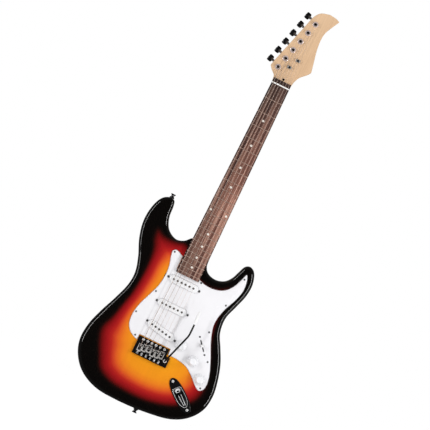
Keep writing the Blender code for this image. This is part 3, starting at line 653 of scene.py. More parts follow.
# Black fibre of the pickups' bases; the same black is painted shade in the screws' cross recesses, the
# posts' slots and the jack's bore.
bobbin_black_and_painted_shade = plastic("bobbin_black_and_painted_shade", (20, 20, 21), 0.5, 700, 0.2)
jack_black = plastic("jack_black", (8, 8, 9), 0.3, 700, 0.2, Coat_Weight=0.2, Coat_Roughness=0.08)
felt = plastic("felt", (22, 21, 22), 0.95, 2500, 0.4)
black_plate = metal("black_plate", (26, 25, 25), 0.3, 0.2, 0.4)
chrome = metal("chrome", (238, 238, 240), 0.16, 0.08, 0.62)
# Near-white with little metal in it: a painted glint that stands in for chrome reflecting white.
painted_glint_chrome = metal("painted_glint_chrome", (255, 255, 255), 0.2, 0.08, 0.12)
bushing_chrome = metal("bushing_chrome", (240, 224, 222), 0.2, 0.08, 0.45)
dark_chrome = metal("dark_chrome", (104, 104, 107), 0.16, 0.1)
nickel = metal("nickel", (206, 204, 200), 0.26, 0.15, 0.6)
# The frets' light, warm colour is a painted reflection on their crowns.
fret_nickel = metal("fret_nickel", (204, 172, 156), 0.4, 0.2, 0.55, (1, 0.1, 1), 1500)
pole_steel = metal("pole_steel", (64, 62, 62), 0.4)
saddle_steel = metal("saddle_steel", (224, 220, 216), 0.28, 0.3, 0.45, (0.1, 1, 1))
dark_screw = metal("dark_screw", (84, 83, 84), 0.35)
grey_screw = metal("grey_screw", (150, 150, 150), 0.35, 0.2, 0.7)
guard_screw = metal("guard_screw", (116, 116, 116), 0.35, 0.2, 0.75)
cast_steel = metal("cast_steel", (146, 146, 148), 0.45, 0.5)
spring_steel = metal("spring_steel", (176, 176, 178), 0.3, 0.3)
# The plain strings' warm tint is a painted reflection of the rosewood board.
plain_steel = metal("plain_steel", (214, 196, 185), 0.5, 0.2, 0.5)
wound_steel = wound_finish()
coil_chrome = coil_finish()
pearl = pearl_finish()

# --- screws ---


def cross_head(name, radius, height, finish, countersunk=False):
    """A screw head with a cross recess, pointing to z, in a mesh to be shared."""
    if countersunk:
        profile = [(0.45, -0.8 * radius), (1, -0.1), (1, 0), (0.8, 0.7 * height), (0.4, height)]
    else:
        profile = [(0.95, -0.2), (1, 0.15), (0.97, 0.45 * height), (0.8, 0.8 * height), (0.45, height)]
    rings = turned([(radius * share, z) for share, z in profile], 20)
    head = show(name, mesh_of(name, rings), finish, body=None)
    arm, width, bottom = 0.62 * radius, 0.17 * radius, 0.25 * height
    # The recess walls take the black: painted shade.
    carve(head, [box(-arm, arm, -width, width, bottom, height + 1),
                 box(-width, width, -arm, arm, bottom, height + 1)], bobbin_black_and_painted_shade)
    mesh = head.data
    bpy.data.objects.remove(head, do_unlink=True)
    return mesh


def place_in_world(frame_):
    """matrix_world of a shared mesh that was itself made through bench()."""
    return BENCH @ frame_ @ BENCH.inverted()


def screws(prefix, mesh, frames, body="root"):
    """Copies of a shared screw head at the frames, numbered from 1."""
    for number, frame_ in enumerate(frames, 1):
        spun = frame_ @ Matrix.Rotation(0.7 * number, 4, "Z")
        show(f"{prefix}_{number}", mesh, None, body, place=place_in_world(spun))


# --- body ---

# From the heel over the bass horn, down the bass side, round the tail and up to the treble horn
BODY_OUTLINE = [
    (14, -389.5), (-14, -387.5), (-28, -391), (-41, -403.5), (-57, -409), (-71, -405),
    (-84.5, -394), (-94.2, -372), (-96.9, -345), (-100.5, -333), (-109, -330), (-122.5, -334.5),
    (-133.5, -348), (-142.2, -379), (-142.4, -410), (-133.8, -445), (-119, -480),
    (-109.6, -515), (-111.3, -545), (-124.3, -585), (-140.4, -625), (-152.9, -665),
    (-155.6, -703), (-145.4, -735), (-120.8, -765), (-80, -785), (-25, -790), (50, -786.2),
    (108.3, -775), (141.3, -755), (162.9, -725), (168.6, -690), (163.9, -655), (151.8, -615),
    (137, -585), (121.4, -555), (117.6, -520), (128.2, -485), (137.3, -455), (139, -425),
    (129.5, -398.5), (117.5, -391.8), (107, -396.5), (98.5, -415.5), (92, -431.5),
    (80, -445.5), (60, -452), (39, -446.5), (29.5, -434), (27.5, -418), (24.5, -396),
]

# Where the burst starts, at the edge of its black, and where it has turned to amber
BURST_OUTER = [
    (-30, -404), (-60, -409), (-85, -407), (-103, -398), (-112, -404), (-110, -430), (-101, -450),
    (-96, -475), (-96, -520), (-99, -556), (-107, -590), (-116, -625), (-127, -650), (-128, -667),
    (-121, -690), (-108, -716), (-91, -746), (-58, -763), (-20, -768), (30, -768), (66, -762),
    (97, -752), (122, -737), (141, -718), (149, -697), (149, -670), (142, -645), (132, -615),
    (118, -583), (111, -555), (108, -528), (110, -500), (110, -478), (106, -454), (95, -448),
    (82, -458), (58, -468), (28, -463),
]
BURST_INNER = [
    (-22, -470), (-38, -468), (-47, -480), (-48, -505), (-51, -530), (-56, -560), (-63, -600),
    (-62, -625), (-53, -650), (-43, -668), (-40, -690), (-26, -703), (0, -709), (30, -709),
    (58, -703), (78, -688), (88, -662), (82, -635), (70, -600), (50, -560), (36, -530), (30, -500),
    (10, -478),
]
BURST_GLOW = 45  # over this distance inside the inner curve the amber still brightens


def face_height(point):
    """Level of the face, with the forearm contour on the bass side, which starts softly."""
    past = (point.x + 139) * -0.909 + (point.y + 585) * -0.417
    if past > ARM_SOFTENING:
        return -0.2 * past
    return -0.05 * max(past + ARM_SOFTENING, 0.0) ** 2 / ARM_SOFTENING


def back_height(point):
    """Level of the back, lifted by the belly contour at the waist's bass side."""
    window = blend(-point.y, 415, 480) * blend(point.y, -660, -590)
    return 0.3 * max(-62 - point.x, 0.0) * window - BODY_DEPTH


def rim_radius(point):
    """Radius rolled over the rim: full all round, but small where the heel meets the neck."""
    from_heel = (point - Vector((0, -392))).length
    return BODY_EDGE * (0.4 + 0.6 * blend(from_heel, 26, 52))


def nearby(values):
    """For each value of a closed row, the values from four places before it to four after."""
    count = len(values)
    return [[values[(here + step) % count] for step in range(-4, 5)] for here in range(count)]


def room_inside(outline, inwards):
    """How far each point can move in before it meets its neighbours, where the outline bulges."""
    room = []
    for here, (point, inward) in enumerate(zip(outline, inwards)):
        before, after = outline[here - 2], outline[(here + 2) % len(outline)]
        rise = ((before + after) / 2 - point).dot(inward.normalized())
        chord = (after - before).length / 2
        room.append((chord ** 2 + rise ** 2) / (2 * rise) if rise > 0.01 else 1000.0)
    return [min(near) for near in nearby(room)]


def body_rings(outline):
    """Rings from inside the edge of the face, over the rolled rim and the side, to the back."""
    inwards = [moved - point for moved, point in zip(inset(outline, 1.0), outline)]
    room = room_inside(outline, inwards)
    limits = [min(rim_radius(point), RIM_SHARE * most) for point, most in zip(outline, room)]
    radii = [sum(near) / len(near) for near in nearby(limits)]
    front, back = [], []
    for step in range(-1, EDGE_STEPS + 1):
        angle = QUARTER * max(step, 0) / EDGE_STEPS
        upper, lower = [], []
        for point, inward, radius, most in zip(outline, inwards, radii, room):
            flat = min(RIM_MARGIN, MARGIN_SHARE * most) if step < 0 else 0.0
            moved = point + inward * (radius * (1 - sin(angle)) + flat)
            drop = radius * (1 - cos(angle))
            upper.append((*moved, face_height(moved) - drop))
            lower.append((*moved, back_height(moved) + drop))
        front.append(upper)
        back.append(lower)
    return front + back[::-1]


def inside(points, loop):
    """Whether each point lies in the closed loop, by counting the edges on its right."""
    end = np.roll(loop, -1, axis=0)
    x, y = points[:, :1], points[:, 1:]
    crosses = (loop[:, 1] > y) != (end[:, 1] > y)
    rise = np.where(end[:, 1] == loop[:, 1], 1e-9, end[:, 1] - loop[:, 1])
    right = loop[:, 0] + (y - loop[:, 1]) / rise * (end[:, 0] - loop[:, 0]) > x
    return (crosses & right).sum(axis=1) % 2 == 1


def cap(work, rim, height):
    """Fills the rim with triangles over a grid of points at the height's level."""
    flat = [Vector((vert.co.x, vert.co.z)) / MM for vert in rim]
    border = inset(flat, CAP_GRID / 3)
    low, high = Vector(map(min, *flat)), Vector(map(max, *flat))
    columns, rows = (range(int(extent / CAP_GRID)) for extent in high - low)
    grid = [low + Vector((column + 0.5, row + 0.5)) * CAP_GRID for column in columns for row in rows]
    within = inside(as_array(grid), as_array(border))
    grid = [point for point, keep in zip(grid, within) if keep]
    edges = [(side, (side + 1) % len(flat)) for side in range(len(flat))]
    points, _, faces, origins, _, _ = delaunay_2d_cdt(flat + grid, edges, [], 1, 1e-5)
    verts = []
    for point, sources in zip(points, origins):
        on_rim = [rim[source] for source in sources if source < len(rim)]
        verts.append(on_rim[0] if on_rim else work.verts.new(bench((*point, height(point)))))
    for face in faces:
        work.faces.new([verts[corner] for corner in face])


def distance_to(points, knots):
    """Signed distance of each point to the smooth curve through the knots, inside positive."""
    curve = as_array(smooth(knots, 8, closed=True))
    nearest = np.linalg.norm(nearest_on(points, curve) - points, axis=1)
    return np.where(inside(points, curve), nearest, -nearest)


def write_burst(mesh):
    """How far through the burst each corner lies, in a UV layer."""
    places = np.array([(vert.co.x, vert.co.z) for vert in mesh.vertices]) / MM
    from_black = np.maximum(distance_to(places, BURST_OUTER), 0)
    inside_amber = distance_to(places, BURST_INNER)
    share = from_black / np.maximum(from_black + np.maximum(-inside_amber, 0), 1e-6)
    share += (BURST_END - 1) * np.clip(inside_amber / BURST_GLOW, 0, 1)
    layer = mesh.uv_layers.new(name="burst")
    for loop in mesh.loops:
        layer.uv[loop.index].vector = (share[loop.vertex_index] / BURST_END, 0.5)


def make_body():
    """Body with the neck pocket, the cavities and the hole for the block cut into it."""
    work = bmesh.new()
    loops = skin(work, body_rings(evenly(smooth(BODY_OUTLINE, 10, closed=True), BODY_POINTS)))
    cap(work, loops[0], face_height)
    cap(work, loops[-1], back_height)
    bmesh.ops.recalc_face_normals(work, faces=work.faces)
    mesh = done(work, "body_wood")
    write_burst(mesh)
    body = show("body_wood", mesh, sunburst, node="body")
    above, below = 6, -BODY_DEPTH - 6
    heel, pocket_end = board_half(HEEL_END) + GAP, -370
    controls = [(41, -602), (74, -581), (95, -568), (111, -592), (124, -619), (138, -655),
                (137, -672), (127, -679), (114, -674), (98, -655), (76, -646), (46, -634)]
    slot = [(-36.5, -677.2), (44.6, -677.2), (44.6, -653.8), (34.8, -653.8), (34.8, -647.5),
            (-36.5, -647.5)]
    carve(body, [
        box(-heel, heel, HEEL_END - GAP, pocket_end, HEEL_BACK - GAP, above),
        extruded(rounded(0, -552, 94, 150, 12), -20, above),
        extruded(smooth(controls, 4, closed=True), -38, above),
        extruded(slot, -27, above),
        extruded(rounded(0, -611.6, 77, 131.2, 5), below, -29),
        box(-36.6, 36.6, -677.1, -647.4, -31, -25),
        extruded(rounded(*JACK_CENTRE, 62, 24, 10, 4, JACK_LINE_ANGLE), -36, above),
    ], cavity, 40)


# --- neck ---

# Edges of the headstock as (y, x); each list runs between two corners
BASS_CHEEK = [(0, -21.5), (10, -22.5), (17, -24.4), (26, -33.7), (34, -40)]
BASS_SIDE = [(34, -40), (38, -39.4), (104, -20.6), (146, -8.4), (164, -3.6), (176, 1.7), (186, 10.6),
             (192, 30)]
TREBLE_CHEEK = [(0, 21.5), (12, 22.2), (24, 24.9), (36, 30.8), (50, 44.5), (57, 49.3)]
TREBLE_SIDE = [(57, 49.3), (80, 44.4), (108, 38.6), (132, 36.5), (150, 38.6), (170, 47.6), (186.2, 56.2)]
TIP = [(186.2, 56.2), (189.8, 47), (192, 32)]

NECK_STATIONS = [
    192, 191.8, 191.4, 190.8, 190, 189, 187.8, 186.4, 185.2, *range(184, -12, -2),
    -20, -60, -120, -200, -280, -340, -360, *range(-364, -392, -2), -420, HEEL_END,
]


def edge_at(y, stretches):
    """x of an edge at a height y, read from smooth curves through its points."""
    for stretch in stretches:
        curve = smooth(stretch, 12)
        for start, end in zip(curve, curve[1:]):
            if min(start.x, end.x) - 1e-6 <= y <= max(start.x, end.x) + 1e-6:
                share = (y - start.x) / (end.x - start.x)
                return start.y + share * (end.y - start.y)
    raise ValueError(f"no edge at y = {y}")


def neck_edges(y):
    """x of the neck's bass and treble edges."""
    if y <= 0:
        return -board_half(y), board_half(y)
    if y > 191.9:
        return 29.0, 31.0
    return edge_at(y, (BASS_CHEEK, BASS_SIDE)), edge_at(y, (TREBLE_CHEEK, TREBLE_SIDE, TIP))


def neck_top(y):
    """Glue plane of the fingerboard, with a scoop down to the headstock's face."""
    scoop_end = 26
    if y <= BOARD_HEAD_END:
        return NECK_TOP
    rest = max(scoop_end - y, 0.0) / (scoop_end - BOARD_HEAD_END)
    return HEAD_FACE + (NECK_TOP - HEAD_FACE) * rest ** 2


def neck_back(y):
    """Deepest line of the neck's back: headstock, shaft and heel."""
    shaft = -10.8 + 0.0056 * y
    to_head, to_heel = blend(y, -6, 38), blend(-y, 366, 386)
    return shaft + (HEAD_BACK - shaft) * to_head + (HEEL_BACK - shaft) * to_heel


def neck_ring(y):
    """Section across the neck: flat on top, round below the shaft, square on head and heel."""
    left, right = neck_edges(y)
    ease = 0.25 + 0.75 * blend(y, 16, 30)  # how much the face's edges are broken
    ease = min(ease, (right - left) / 4)
    top, depth = neck_top(y), neck_top(y) - neck_back(y)
    power = 2 / (2.3 + 20 * max(blend(y, -2, 40), blend(-y, 364, 384)))
    centre, half = (left + right) / 2, (right - left) / 2
    ring = [(left + ease, y, top), (right - ease, y, top)]
    steps = 28
    for step in range(steps + 1):
        angle = pi * step / steps
        across = copysign(abs(cos(angle)) ** power, cos(angle))
        deep = (depth - ease) * abs(sin(angle)) ** power
        ring.append((centre + half * across, y, top - ease - deep))
    return ring


def make_neck():
    """Neck with the bores for the truss rod, its adjuster and the posts."""
    neck = solid("neck_wood", [neck_ring(y) for y in NECK_STATIONS], maple, node="neck")
    rod = box(-3, 3, -446, -7.9, -2.9, 9)
    adjuster = tube([(0, 18.5, 0.6), (0, -8.1, 0.6)], 2.9, 20)
    posts = [(extruded(circle(0, 0, 5.3), -30, 9), tuner_frame(string)) for string in STRINGS]
    # The bores take the dark cavity paint: painted shade inside them.
    carve(neck, [rod, adjuster, *posts], cavity)


def radius_drop(x):
    """How far the fingerboard's cylinder has fallen at a distance from the centre line."""
    return x * x / (2 * BOARD_RADIUS)


def board_half(y):
    return NUT_HALF_WIDTH - NECK_TAPER * min(y, 0)


def fret_y(number):
    return -SCALE_LENGTH * (1 - 2 ** (-number / 12))


def board_ring(y, rise):
    """Section across the fingerboard, its upper edges broken a little."""
    half, ease = board_half(y), 0.5
    shoulder = BOARD_TOP + rise - radius_drop(half) - ease
    xs = [(half - ease) * (1 - step / 8) for step in range(17)]
    return [(-half, y, BOARD_UNDERSIDE), (half, y, BOARD_UNDERSIDE), (half, y, shoulder),
            *((x, y, BOARD_TOP + rise - radius_drop(x)) for x in xs), (-half, y, shoulder)]


def make_fret(number):
    """Fret wire: a crown that follows the board's radius, its ends sloped, on a foot."""
    y, end = fret_y(number), board_half(fret_y(number))
    crown, half_crown, foot = 1.05, 0.95, 0.3
    arch = [pi * step / 8 for step in range(9)]
    rings = []
    for x in (-end + 0.2, *((end - 0.9) * (step / 6 - 1) for step in range(13)), end - 0.2):
        height = crown * (0.25 if abs(x) > end - 0.5 else 1)
        base = BOARD_TOP - radius_drop(x)
        rings.append([(x, y - half_crown, base - foot), (x, y + half_crown, base - foot), *(
            (x, y + half_crown * cos(angle), base + height * sin(angle) ** 0.8) for angle in arch)])
    solid(f"fret_{number}", rings, fret_nickel, angle=50)


def make_dot(name, x, y):
    """Inlaid dot, its face on the board's radius."""
    radius, rings = 2.6, []
    for share, sink in ((1, 1), (1, -0.02), (0.9, -0.05), (0.5, -0.05)):
        rim = circle(x, y, radius * share)
        rings.append([(p.x, p.y, BOARD_TOP - radius_drop(p.x) - sink) for p in rim])
    solid(name, rings, pearl)


def make_fingerboard():
    """Board with the slot for the nut, its frets, and its dots on the face and the bass edge."""
    stations = [(BOARD_HEAD_END, -2.4), (3.5, 0), (-60, 0), (-160, 0), (-260, 0), (-360, 0),
                (BOARD_BODY_END + 0.6, 0), (BOARD_BODY_END, -0.5)]
    rings = [board_ring(y, rise) for y, rise in stations]
    board = solid("fingerboard_wood", rings, rosewood, node="fingerboard")
    carve(board, [box(-40, 40, -0.9, 2.6, 6, 20)])
    for number in range(1, FRETS + 1):
        make_fret(number)
    for number in (3, 5, 7, 9, 12, 15, 17, 19, 21):
        y = (fret_y(number) + fret_y(number - 1)) / 2
        octave = number == 12
        for copy, x in enumerate((-18.6, 18.6) if octave else (0,), 1):
            make_dot(f"fret_marker_{number}_{copy}", x, y)
        for copy, shift in enumerate((-2.5, 2.5) if octave else (0,), 1):
            face = at(-board_half(y) - 0.03, y + shift, 7, -QUARTER, "Y")
            solid(f"side_marker_{number}_{copy}", turned([(1, -0.6), (1, 0), (0.8, 0.03)], 16), pearl,
                  frame_=face)


def make_nut():
    """Nut with a slot under each string, its corners rounded."""
    low, high, _ = bench_box("nut")
    slots = [(string_x(string, NUT_PITCH), radius) for string, radius in enumerate(STRING_RADII, 1)]
    xs = {low.x, low.x + 0.8, high.x - 0.8, high.x} | {NUT_PITCH * step for step in range(-3, 4)}
    for x, radius in slots:
        xs |= {x - radius - 0.55, x - radius, x, x + radius, x + radius + 0.55}
    rings = []
    for x in sorted(xs):
        top = NUT_TOP + 0.55 - radius_drop(x)
        if x in (low.x, high.x):
            top -= 0.9
        for centre, radius in slots:
            if abs(x - centre) <= radius + 0.01:
                top = NUT_TOP + GAP - radius_drop(centre) - 0.05
        rings.append([(x, low.y, low.z), (x, high.y, low.z), (x, high.y, top - 0.9),
                      (x, high.y - 0.5, top - 0.2), (x, low.y + 0.5, top), (x, low.y, top - 0.4)])
    solid("nut_bone", rings, bone, node="nut")


def make_neck_plate():
    """Bolt-on plate over a thin black gasket, with four domed screws."""
    centre = bench_box("neck_plate")[2]
    outline = rounded(centre.x, centre.y, 51, 64, 5, 8)
    plate = layered(outline, [(0, BACK - 0.5), (0, BACK - 1.2), (0.5, BACK - 1.65), (1.2, BACK - 1.7)])
    solid("neck_plate_chrome", plate, chrome, node="neck_plate")
    gasket = extruded(inset(outline, -0.4), BACK - 0.5, BACK + 0.15)
    solid("neck_plate_gasket", gasket, felt)
    head = cross_head("neck_screw_head", 4.2, 1, chrome)
    places = [at(x, centre.y + y, BACK - 1.7) @ FLIP for x in (-19, 19) for y in (-25.5, 25.5)]
    screws("neck_screw", head, places)


# --- tuners ---


def tuner_frame(string):
    """Frame with its x along the posts to the tip, y towards the button and z up the post."""
    first, last, centre = (pivot_of(f"tuner_post_{number}_turn") for number in (6, 1, string))
    line = last - first
    return at(centre.x, centre.y, 0, atan2(line.y, line.x))


def make_tuner(string, screw_head):
    """Die-cast housing, bushing, split post with its string hole, and button on its shaft."""
    name, frame_, top = f"tuner_{string}", tuner_frame(string), HEAD_BACK - GAP
    post, worm = pivot_of(f"tuner_post_{string}_turn"), pivot_of(f"tuner_button_{string}_turn")
    shaft = frame_ @ at((worm - post).xy.length, 0, worm.z, -QUARTER, "X")
    case = [at_height(rounded(1.25, 1.5, 17.5 - 2 * shrink, 16 - 2 * shrink, 3, 5), top - down)
            for shrink, down in ((0, 0), (0, 4), (0.3, 7.5), (1.4, 9.8), (2.4, 10.4))]
    solid(f"{name}_housing", case, black_plate, frame_=frame_,
          node=f"tuner_housing_{string}")
    lid = [(5.6, top - 10.2), (5.6, top - 10.9), (5, top - 11.3), (1.2, top - 11.3), (1, top - 11)]
    sleeve = [(4.6, 8.6), (4.6, 10.6), (3.6, 13.2), (3.2, 13.6)]
    ear = extruded(rounded(-9.6, 4.5, 7, 6.5, 3.2), top - 1.8, top)
    for part, rings, where, edge in (("lid", turned(lid, 28), frame_, 0),
                                     ("worm_sleeve", turned(sleeve), shaft, 0), ("ear", ear, frame_, 0.3)):
        solid(f"{name}_{part}", rings, black_plate, frame_=where, edge=edge)
    screws(f"{name}_ear_screw", screw_head, [frame_ @ at(-10.2, 4.5, top - 1.8) @ FLIP])

    bushing = [(5.1, -8), (5.1, 0.05), (6.6, 0.05), (6.6, 0.7), (6.2, 0.95), (5.6, 1), (5.4, 2),
               (4.9, 2.5), (3.9, 2.5), (3.4, 2.1), (3.3, -8)]
    solid(f"{name}_bushing", turned([(radius, HEAD_FACE + z) for radius, z in bushing], 32),
          bushing_chrome, frame_=frame_, closed=True)
    profile = [(2.2, -24.4), (2.2, worm.z - 1.5), (3.2, worm.z - 1.5), (3.2, worm.z + 1.5),
               (2.95, worm.z + 1.5), (2.95, 1.2), (2.75, 2), (2.55, 2.8), (2.5, 4.2), (2.65, 5.2),
               (2.95, 5.8), (3, 6.7), (2.75, 7), (1.9, 7), (1.6, 6.7), (1.6, 1)]
    split = solid(f"{name}_post", turned(profile, 28), dark_chrome, f"tuner_post_{string}",
                  frame_, f"tuner_post_{string}")
    # The slot's walls take the black: painted shade.
    carve(split, [(box(-4, 4, -0.5, 0.5, 3.6, 9), frame_)], bobbin_black_and_painted_shade)

    # (half width along the posts, half thickness, squareness, distance from the post's axis)
    button = [(1.4, 1.4, 2, -4), (1.4, 1.4, 2, 4), (2, 2, 2, 4.4), (2, 2, 2, 17.2),
              (3.1, 3.1, 2, 17.5), (3.3, 3.3, 2, 18.3), (2.9, 2.9, 2, 19.4), (2.7, 2.7, 2, 20.2),
              (4.6, 3.1, 2.4, 20.6), (6.4, 3.7, 3, 21.1), (7.3, 4.1, 3, 22.2), (7.7, 4.2, 3, 24),
              (7.8, 4.1, 3, 27.5), (7.7, 3.8, 3, 29.6), (7.2, 3.2, 3, 31.2), (6.2, 2.3, 3, 31.8)]
    rings = [at_height(superellipse(wide, thick, power), y) for wide, thick, power, y in button]
    rides = f"tuner_button_{string}"
    solid(f"{name}_button", rings, button_black, rides, shaft, rides, angle=50)
    screws(f"{name}_button_screw", screw_head, [shaft @ at(0, 0, 31.75)], rides)


def make_string_tree(number, x, y, screw_head):
    """Folded clip that holds two strings down, with its screw."""
    name = f"string_tree_{number}"
    wing = [(5.3, 2.2), (4.7, 3.6), (1.6, 4.3)]
    under = [(1.0, 3.4), (4.0, 3.0), (4.6, 2.3)]
    left, left_under = ([(-across, z) for across, z in half] for half in (wing, under))
    profile = left + wing[::-1] + under[::-1] + left_under
    rings = [[(x + across, y + side, z) for across, z in profile] for side in (-3.3, 3.3)]
    solid(name, rings, nickel, edge=0.4)
    spacer = turned([(1.5, HEAD_FACE - 2), (1.5, 3.5)], 16)
    solid(f"{name}_spacer", spacer, nickel, frame_=at(x, y))
    screws(f"{name}_screw", screw_head, [at(x, y, 4.3)])


# --- pickguard and electronics ---

# Stretches of the pickguard's outline, each smooth and each starting where the last one ends
GUARD_STRETCHES = [
    [(-28.8, -436), (-48, -429.3), (-54.5, -434), (-53.6, -445), (-48.1, -465), (-45.8, -487),
     (-48.7, -515), (-58.8, -545), (-69.8, -575), (-74.2, -602), (-70.5, -625), (-60, -638.5),
     (-45, -646.3), (-39.7, -647)],
    [(-39.7, -647), (-39.7, -634.5)],
    [(-39.7, -634.5), (37.2, -634.5)],
    [(37.2, -634.5), (37.2, -648.5)],
    [(37.2, -648.5), (60, -648.8), (85.8, -655), (107, -670.3), (124, -686), (134.5, -690.5),
     (142.8, -683), (144.4, -668), (139.5, -645), (127.3, -615), (109, -575), (100.2, -540),
     (106.6, -505), (119, -475), (126, -448), (123.5, -422), (117.5, -411), (112.1, -425),
     (101, -450), (85, -465.5), (60, -472.5), (38, -470.5), (28.8, -467.2)],
    [(28.8, -467.2), (-28.8, -467.2)],
    [(-28.8, -467.2), (-28.8, -436)],
]
GUARD_SCREWS = [(-49.5, -435), (-49, -532), (-69, -592), (-48, -640), (34, -472), (117.5, -423),
                (105.5, -493), (98, -563), (124, -624), (135, -684)]
PICKUP_ANGLES = {"neck_pickup": 0.0, "middle_pickup": 0.0, "bridge_pickup": radians(-10.6)}
PICKUP_SIZE, PICKUP_CORNER = Vector((70, 18)), 8.9
PICKUP_PLAY = 0.3  # in its opening, all round
POLE_PITCH = 9.7
POLE_RISES = (0.35, 0.6, 1, 0.9, 0.55, 0.35)  # of the magnets out of their cover
KNOB_NAMES = ("volume", "neck_tone", "middle_tone")


def outline_of(stretches, steps):
    """One closed outline from stretches that meet at corners."""
    outline = []
    for stretch in stretches:
        curve = smooth(stretch, steps) if len(stretch) > 2 else [Vector(p) for p in stretch]
        outline += curve[:-1]
    return outline


def make_sheet(name, outline, layers, node):
    """Three-ply sheet whose slanted edge shows the dark middle ply as a thin line."""
    return solid(name, layered(outline, layers), [guard_white, guard_core],
                 node=node, ring_materials=[0, 0, 1, 0, 0])


def make_pickguard():
    """Guard with its openings and its screws."""
    layers = [(0, GAP), (0, 0.9), (0.25, 1.15), (0.6, 1.6), (1.2, GUARD_TOP - 0.12), (1.5, GUARD_TOP)]
    guard = make_sheet("pickguard_sheet", outline_of(GUARD_STRETCHES, 8), layers, "pickguard")
    opening = PICKUP_SIZE + 2 * Vector((PICKUP_PLAY, PICKUP_PLAY))
    holes = [rounded(*bench_box(name)[2].xy, *opening, PICKUP_CORNER + PICKUP_PLAY, 8, angle)
             for name, angle in PICKUP_ANGLES.items()]
    holes += [circle(*pivot_of(f"{name}_turn").xy, 4.1) for name in KNOB_NAMES]
    holes += [rounded(*pivot_of("pickup_selector").xy, 28, 2.8, 1.3, 4, SWITCH_ANGLE)]
    carve(guard, [extruded(hole, GAP - 2, GUARD_TOP + 2) for hole in holes])
    head = cross_head("guard_screw_head", 2.2, 0.9, guard_screw, countersunk=True)
    screws("pickguard_screw", head, [at(x, y, GUARD_TOP) for x, y in GUARD_SCREWS])
    return head


def make_pickup(node, screw_head):
    """Moulded cover with six magnets standing through it, on a fibre base plate."""
    _, high, centre = bench_box(node)
    top, radius = high.z - max(POLE_RISES), 1.8  # the CAD node's top is the tallest magnet's
    frame_ = at(centre.x, centre.y, 0, PICKUP_ANGLES[node])

    def ring(shrink, z):
        size = PICKUP_SIZE - 2 * Vector((shrink, shrink))
        return at_height(rounded(0, 0, *size, PICKUP_CORNER - shrink, 8), z)

    turns = [QUARTER * step / 5 for step in range(6)]
    rings = [ring(0, -4.4)]
    rings += [ring(radius * (1 - cos(turn)), top - radius + radius * sin(turn)) for turn in turns]
    solid(f"{node}_cover", rings, cover_white, node, frame_, node)
    base = extruded(rounded(0, 0, 84, 20, PICKUP_CORNER, 8), -6.5, -4.5)
    solid(f"{node}_base", base, bobbin_black_and_painted_shade, node, frame_)
    for pole, rise in enumerate(POLE_RISES):
        place = frame_ @ at(BRIDGE_CENTRE + POLE_PITCH * (pole - 2.5), 0, top + rise)
        magnet = turned([(2.4, -3), (2.4, -0.25), (2.15, 0)], 20)
        solid(f"{node}_pole_{6 - pole}", magnet, pole_steel, node, place)
    screws(f"{node}_screw", screw_head, [frame_ @ at(x, 0, GUARD_TOP) for x in (-38.2, 38.2)])


def make_knob(name):
    """Skirted knob: ribs round the barrel, a dished top, and a scale of ticks on the skirt."""
    centre, rides = pivot_of(f"{name}_turn"), f"{name}_knob"
    frame_ = at(centre.x, centre.y)
    profile = [(3, 4), (3.2, 6.3), (7.2, 6.2), (11.8, 3.1), (12.7, 2.95), (13, 3.3), (12.95, 4.1),
               (12.5, 4.8), (11, 6.2), (9.8, 7.8), (8.95, 9.8), (8.6, 12), (8.3, 14.5), (7.9, 16.6),
               (7.3, 17.7), (6.5, 18.4), (5.6, 18.65), (4.8, 18.35), (3, 18.2)]
    sides, ribs = 144, 36
    angles = [tau * side / sides for side in range(sides)]
    rings = []
    for radius, z in profile:
        depth = 0.16 * blend(z, 9, 10.5) * (1 - blend(z, 17.2, 18.2)) if radius > 7 else 0.0
        reaches = [radius + depth * cos(ribs * angle) for angle in angles]
        rings.append([(reach * cos(angle), reach * sin(angle), z) for reach, angle in zip(reaches, angles)])
    solid(f"{name}_control_knob", rings, knob_white, rides, frame_, rides, angle=40)
    work = bmesh.new()
    slope = [(10.1, 7.41), (12.3, 5.11), (12.2, 4.91), (10, 7.21)]
    for tick in range(11):
        turn = Matrix.Rotation(radians(240 - 30 * tick), 4, "Z")
        bar = [[turn @ Vector((radius, y, z)) for radius, z in slope] for y in (-0.22, 0.22)]
        for end in skin(work, bar, frame_):
            work.faces.new(end)
    bmesh.ops.recalc_face_normals(work, faces=work.faces)
    show(f"{name}_knob_scale", done(work, f"{name}_knob_scale"), tick_grey, rides)


def make_switch(screw_head):
    """White tip on the flat steel lever of the five-way switch, and the switch's two screws."""
    centre, node = pivot_of("pickup_selector"), "switch_lever"
    frame_ = at(centre.x, centre.y, 0, SWITCH_ANGLE)
    blade = box(-2.5, 2.5, -0.6, 0.6, centre.z - 2, 6)
    solid("selector_blade", blade, nickel, node, frame_, edge=0.2)
    tip = [(6.2, 4.4, 4.6), (7, 5.4, 5), (7.1, 5.5, 6.2), (6.4, 4.9, 10), (5.9, 4.5, 12.6),
           (5.2, 3.9, 13.9), (3.8, 2.7, bench_box(node)[1].z)]
    rings = [at_height(superellipse(wide / 2, thick / 2, 3.2, 28), z) for wide, thick, z in tip]
    solid("selector_tip", rings, tip_white, node, frame_, node, angle=50)
    screws("selector_screw", screw_head, [frame_ @ at(x, 0, GUARD_TOP) for x in (-20.9, 20.9)])


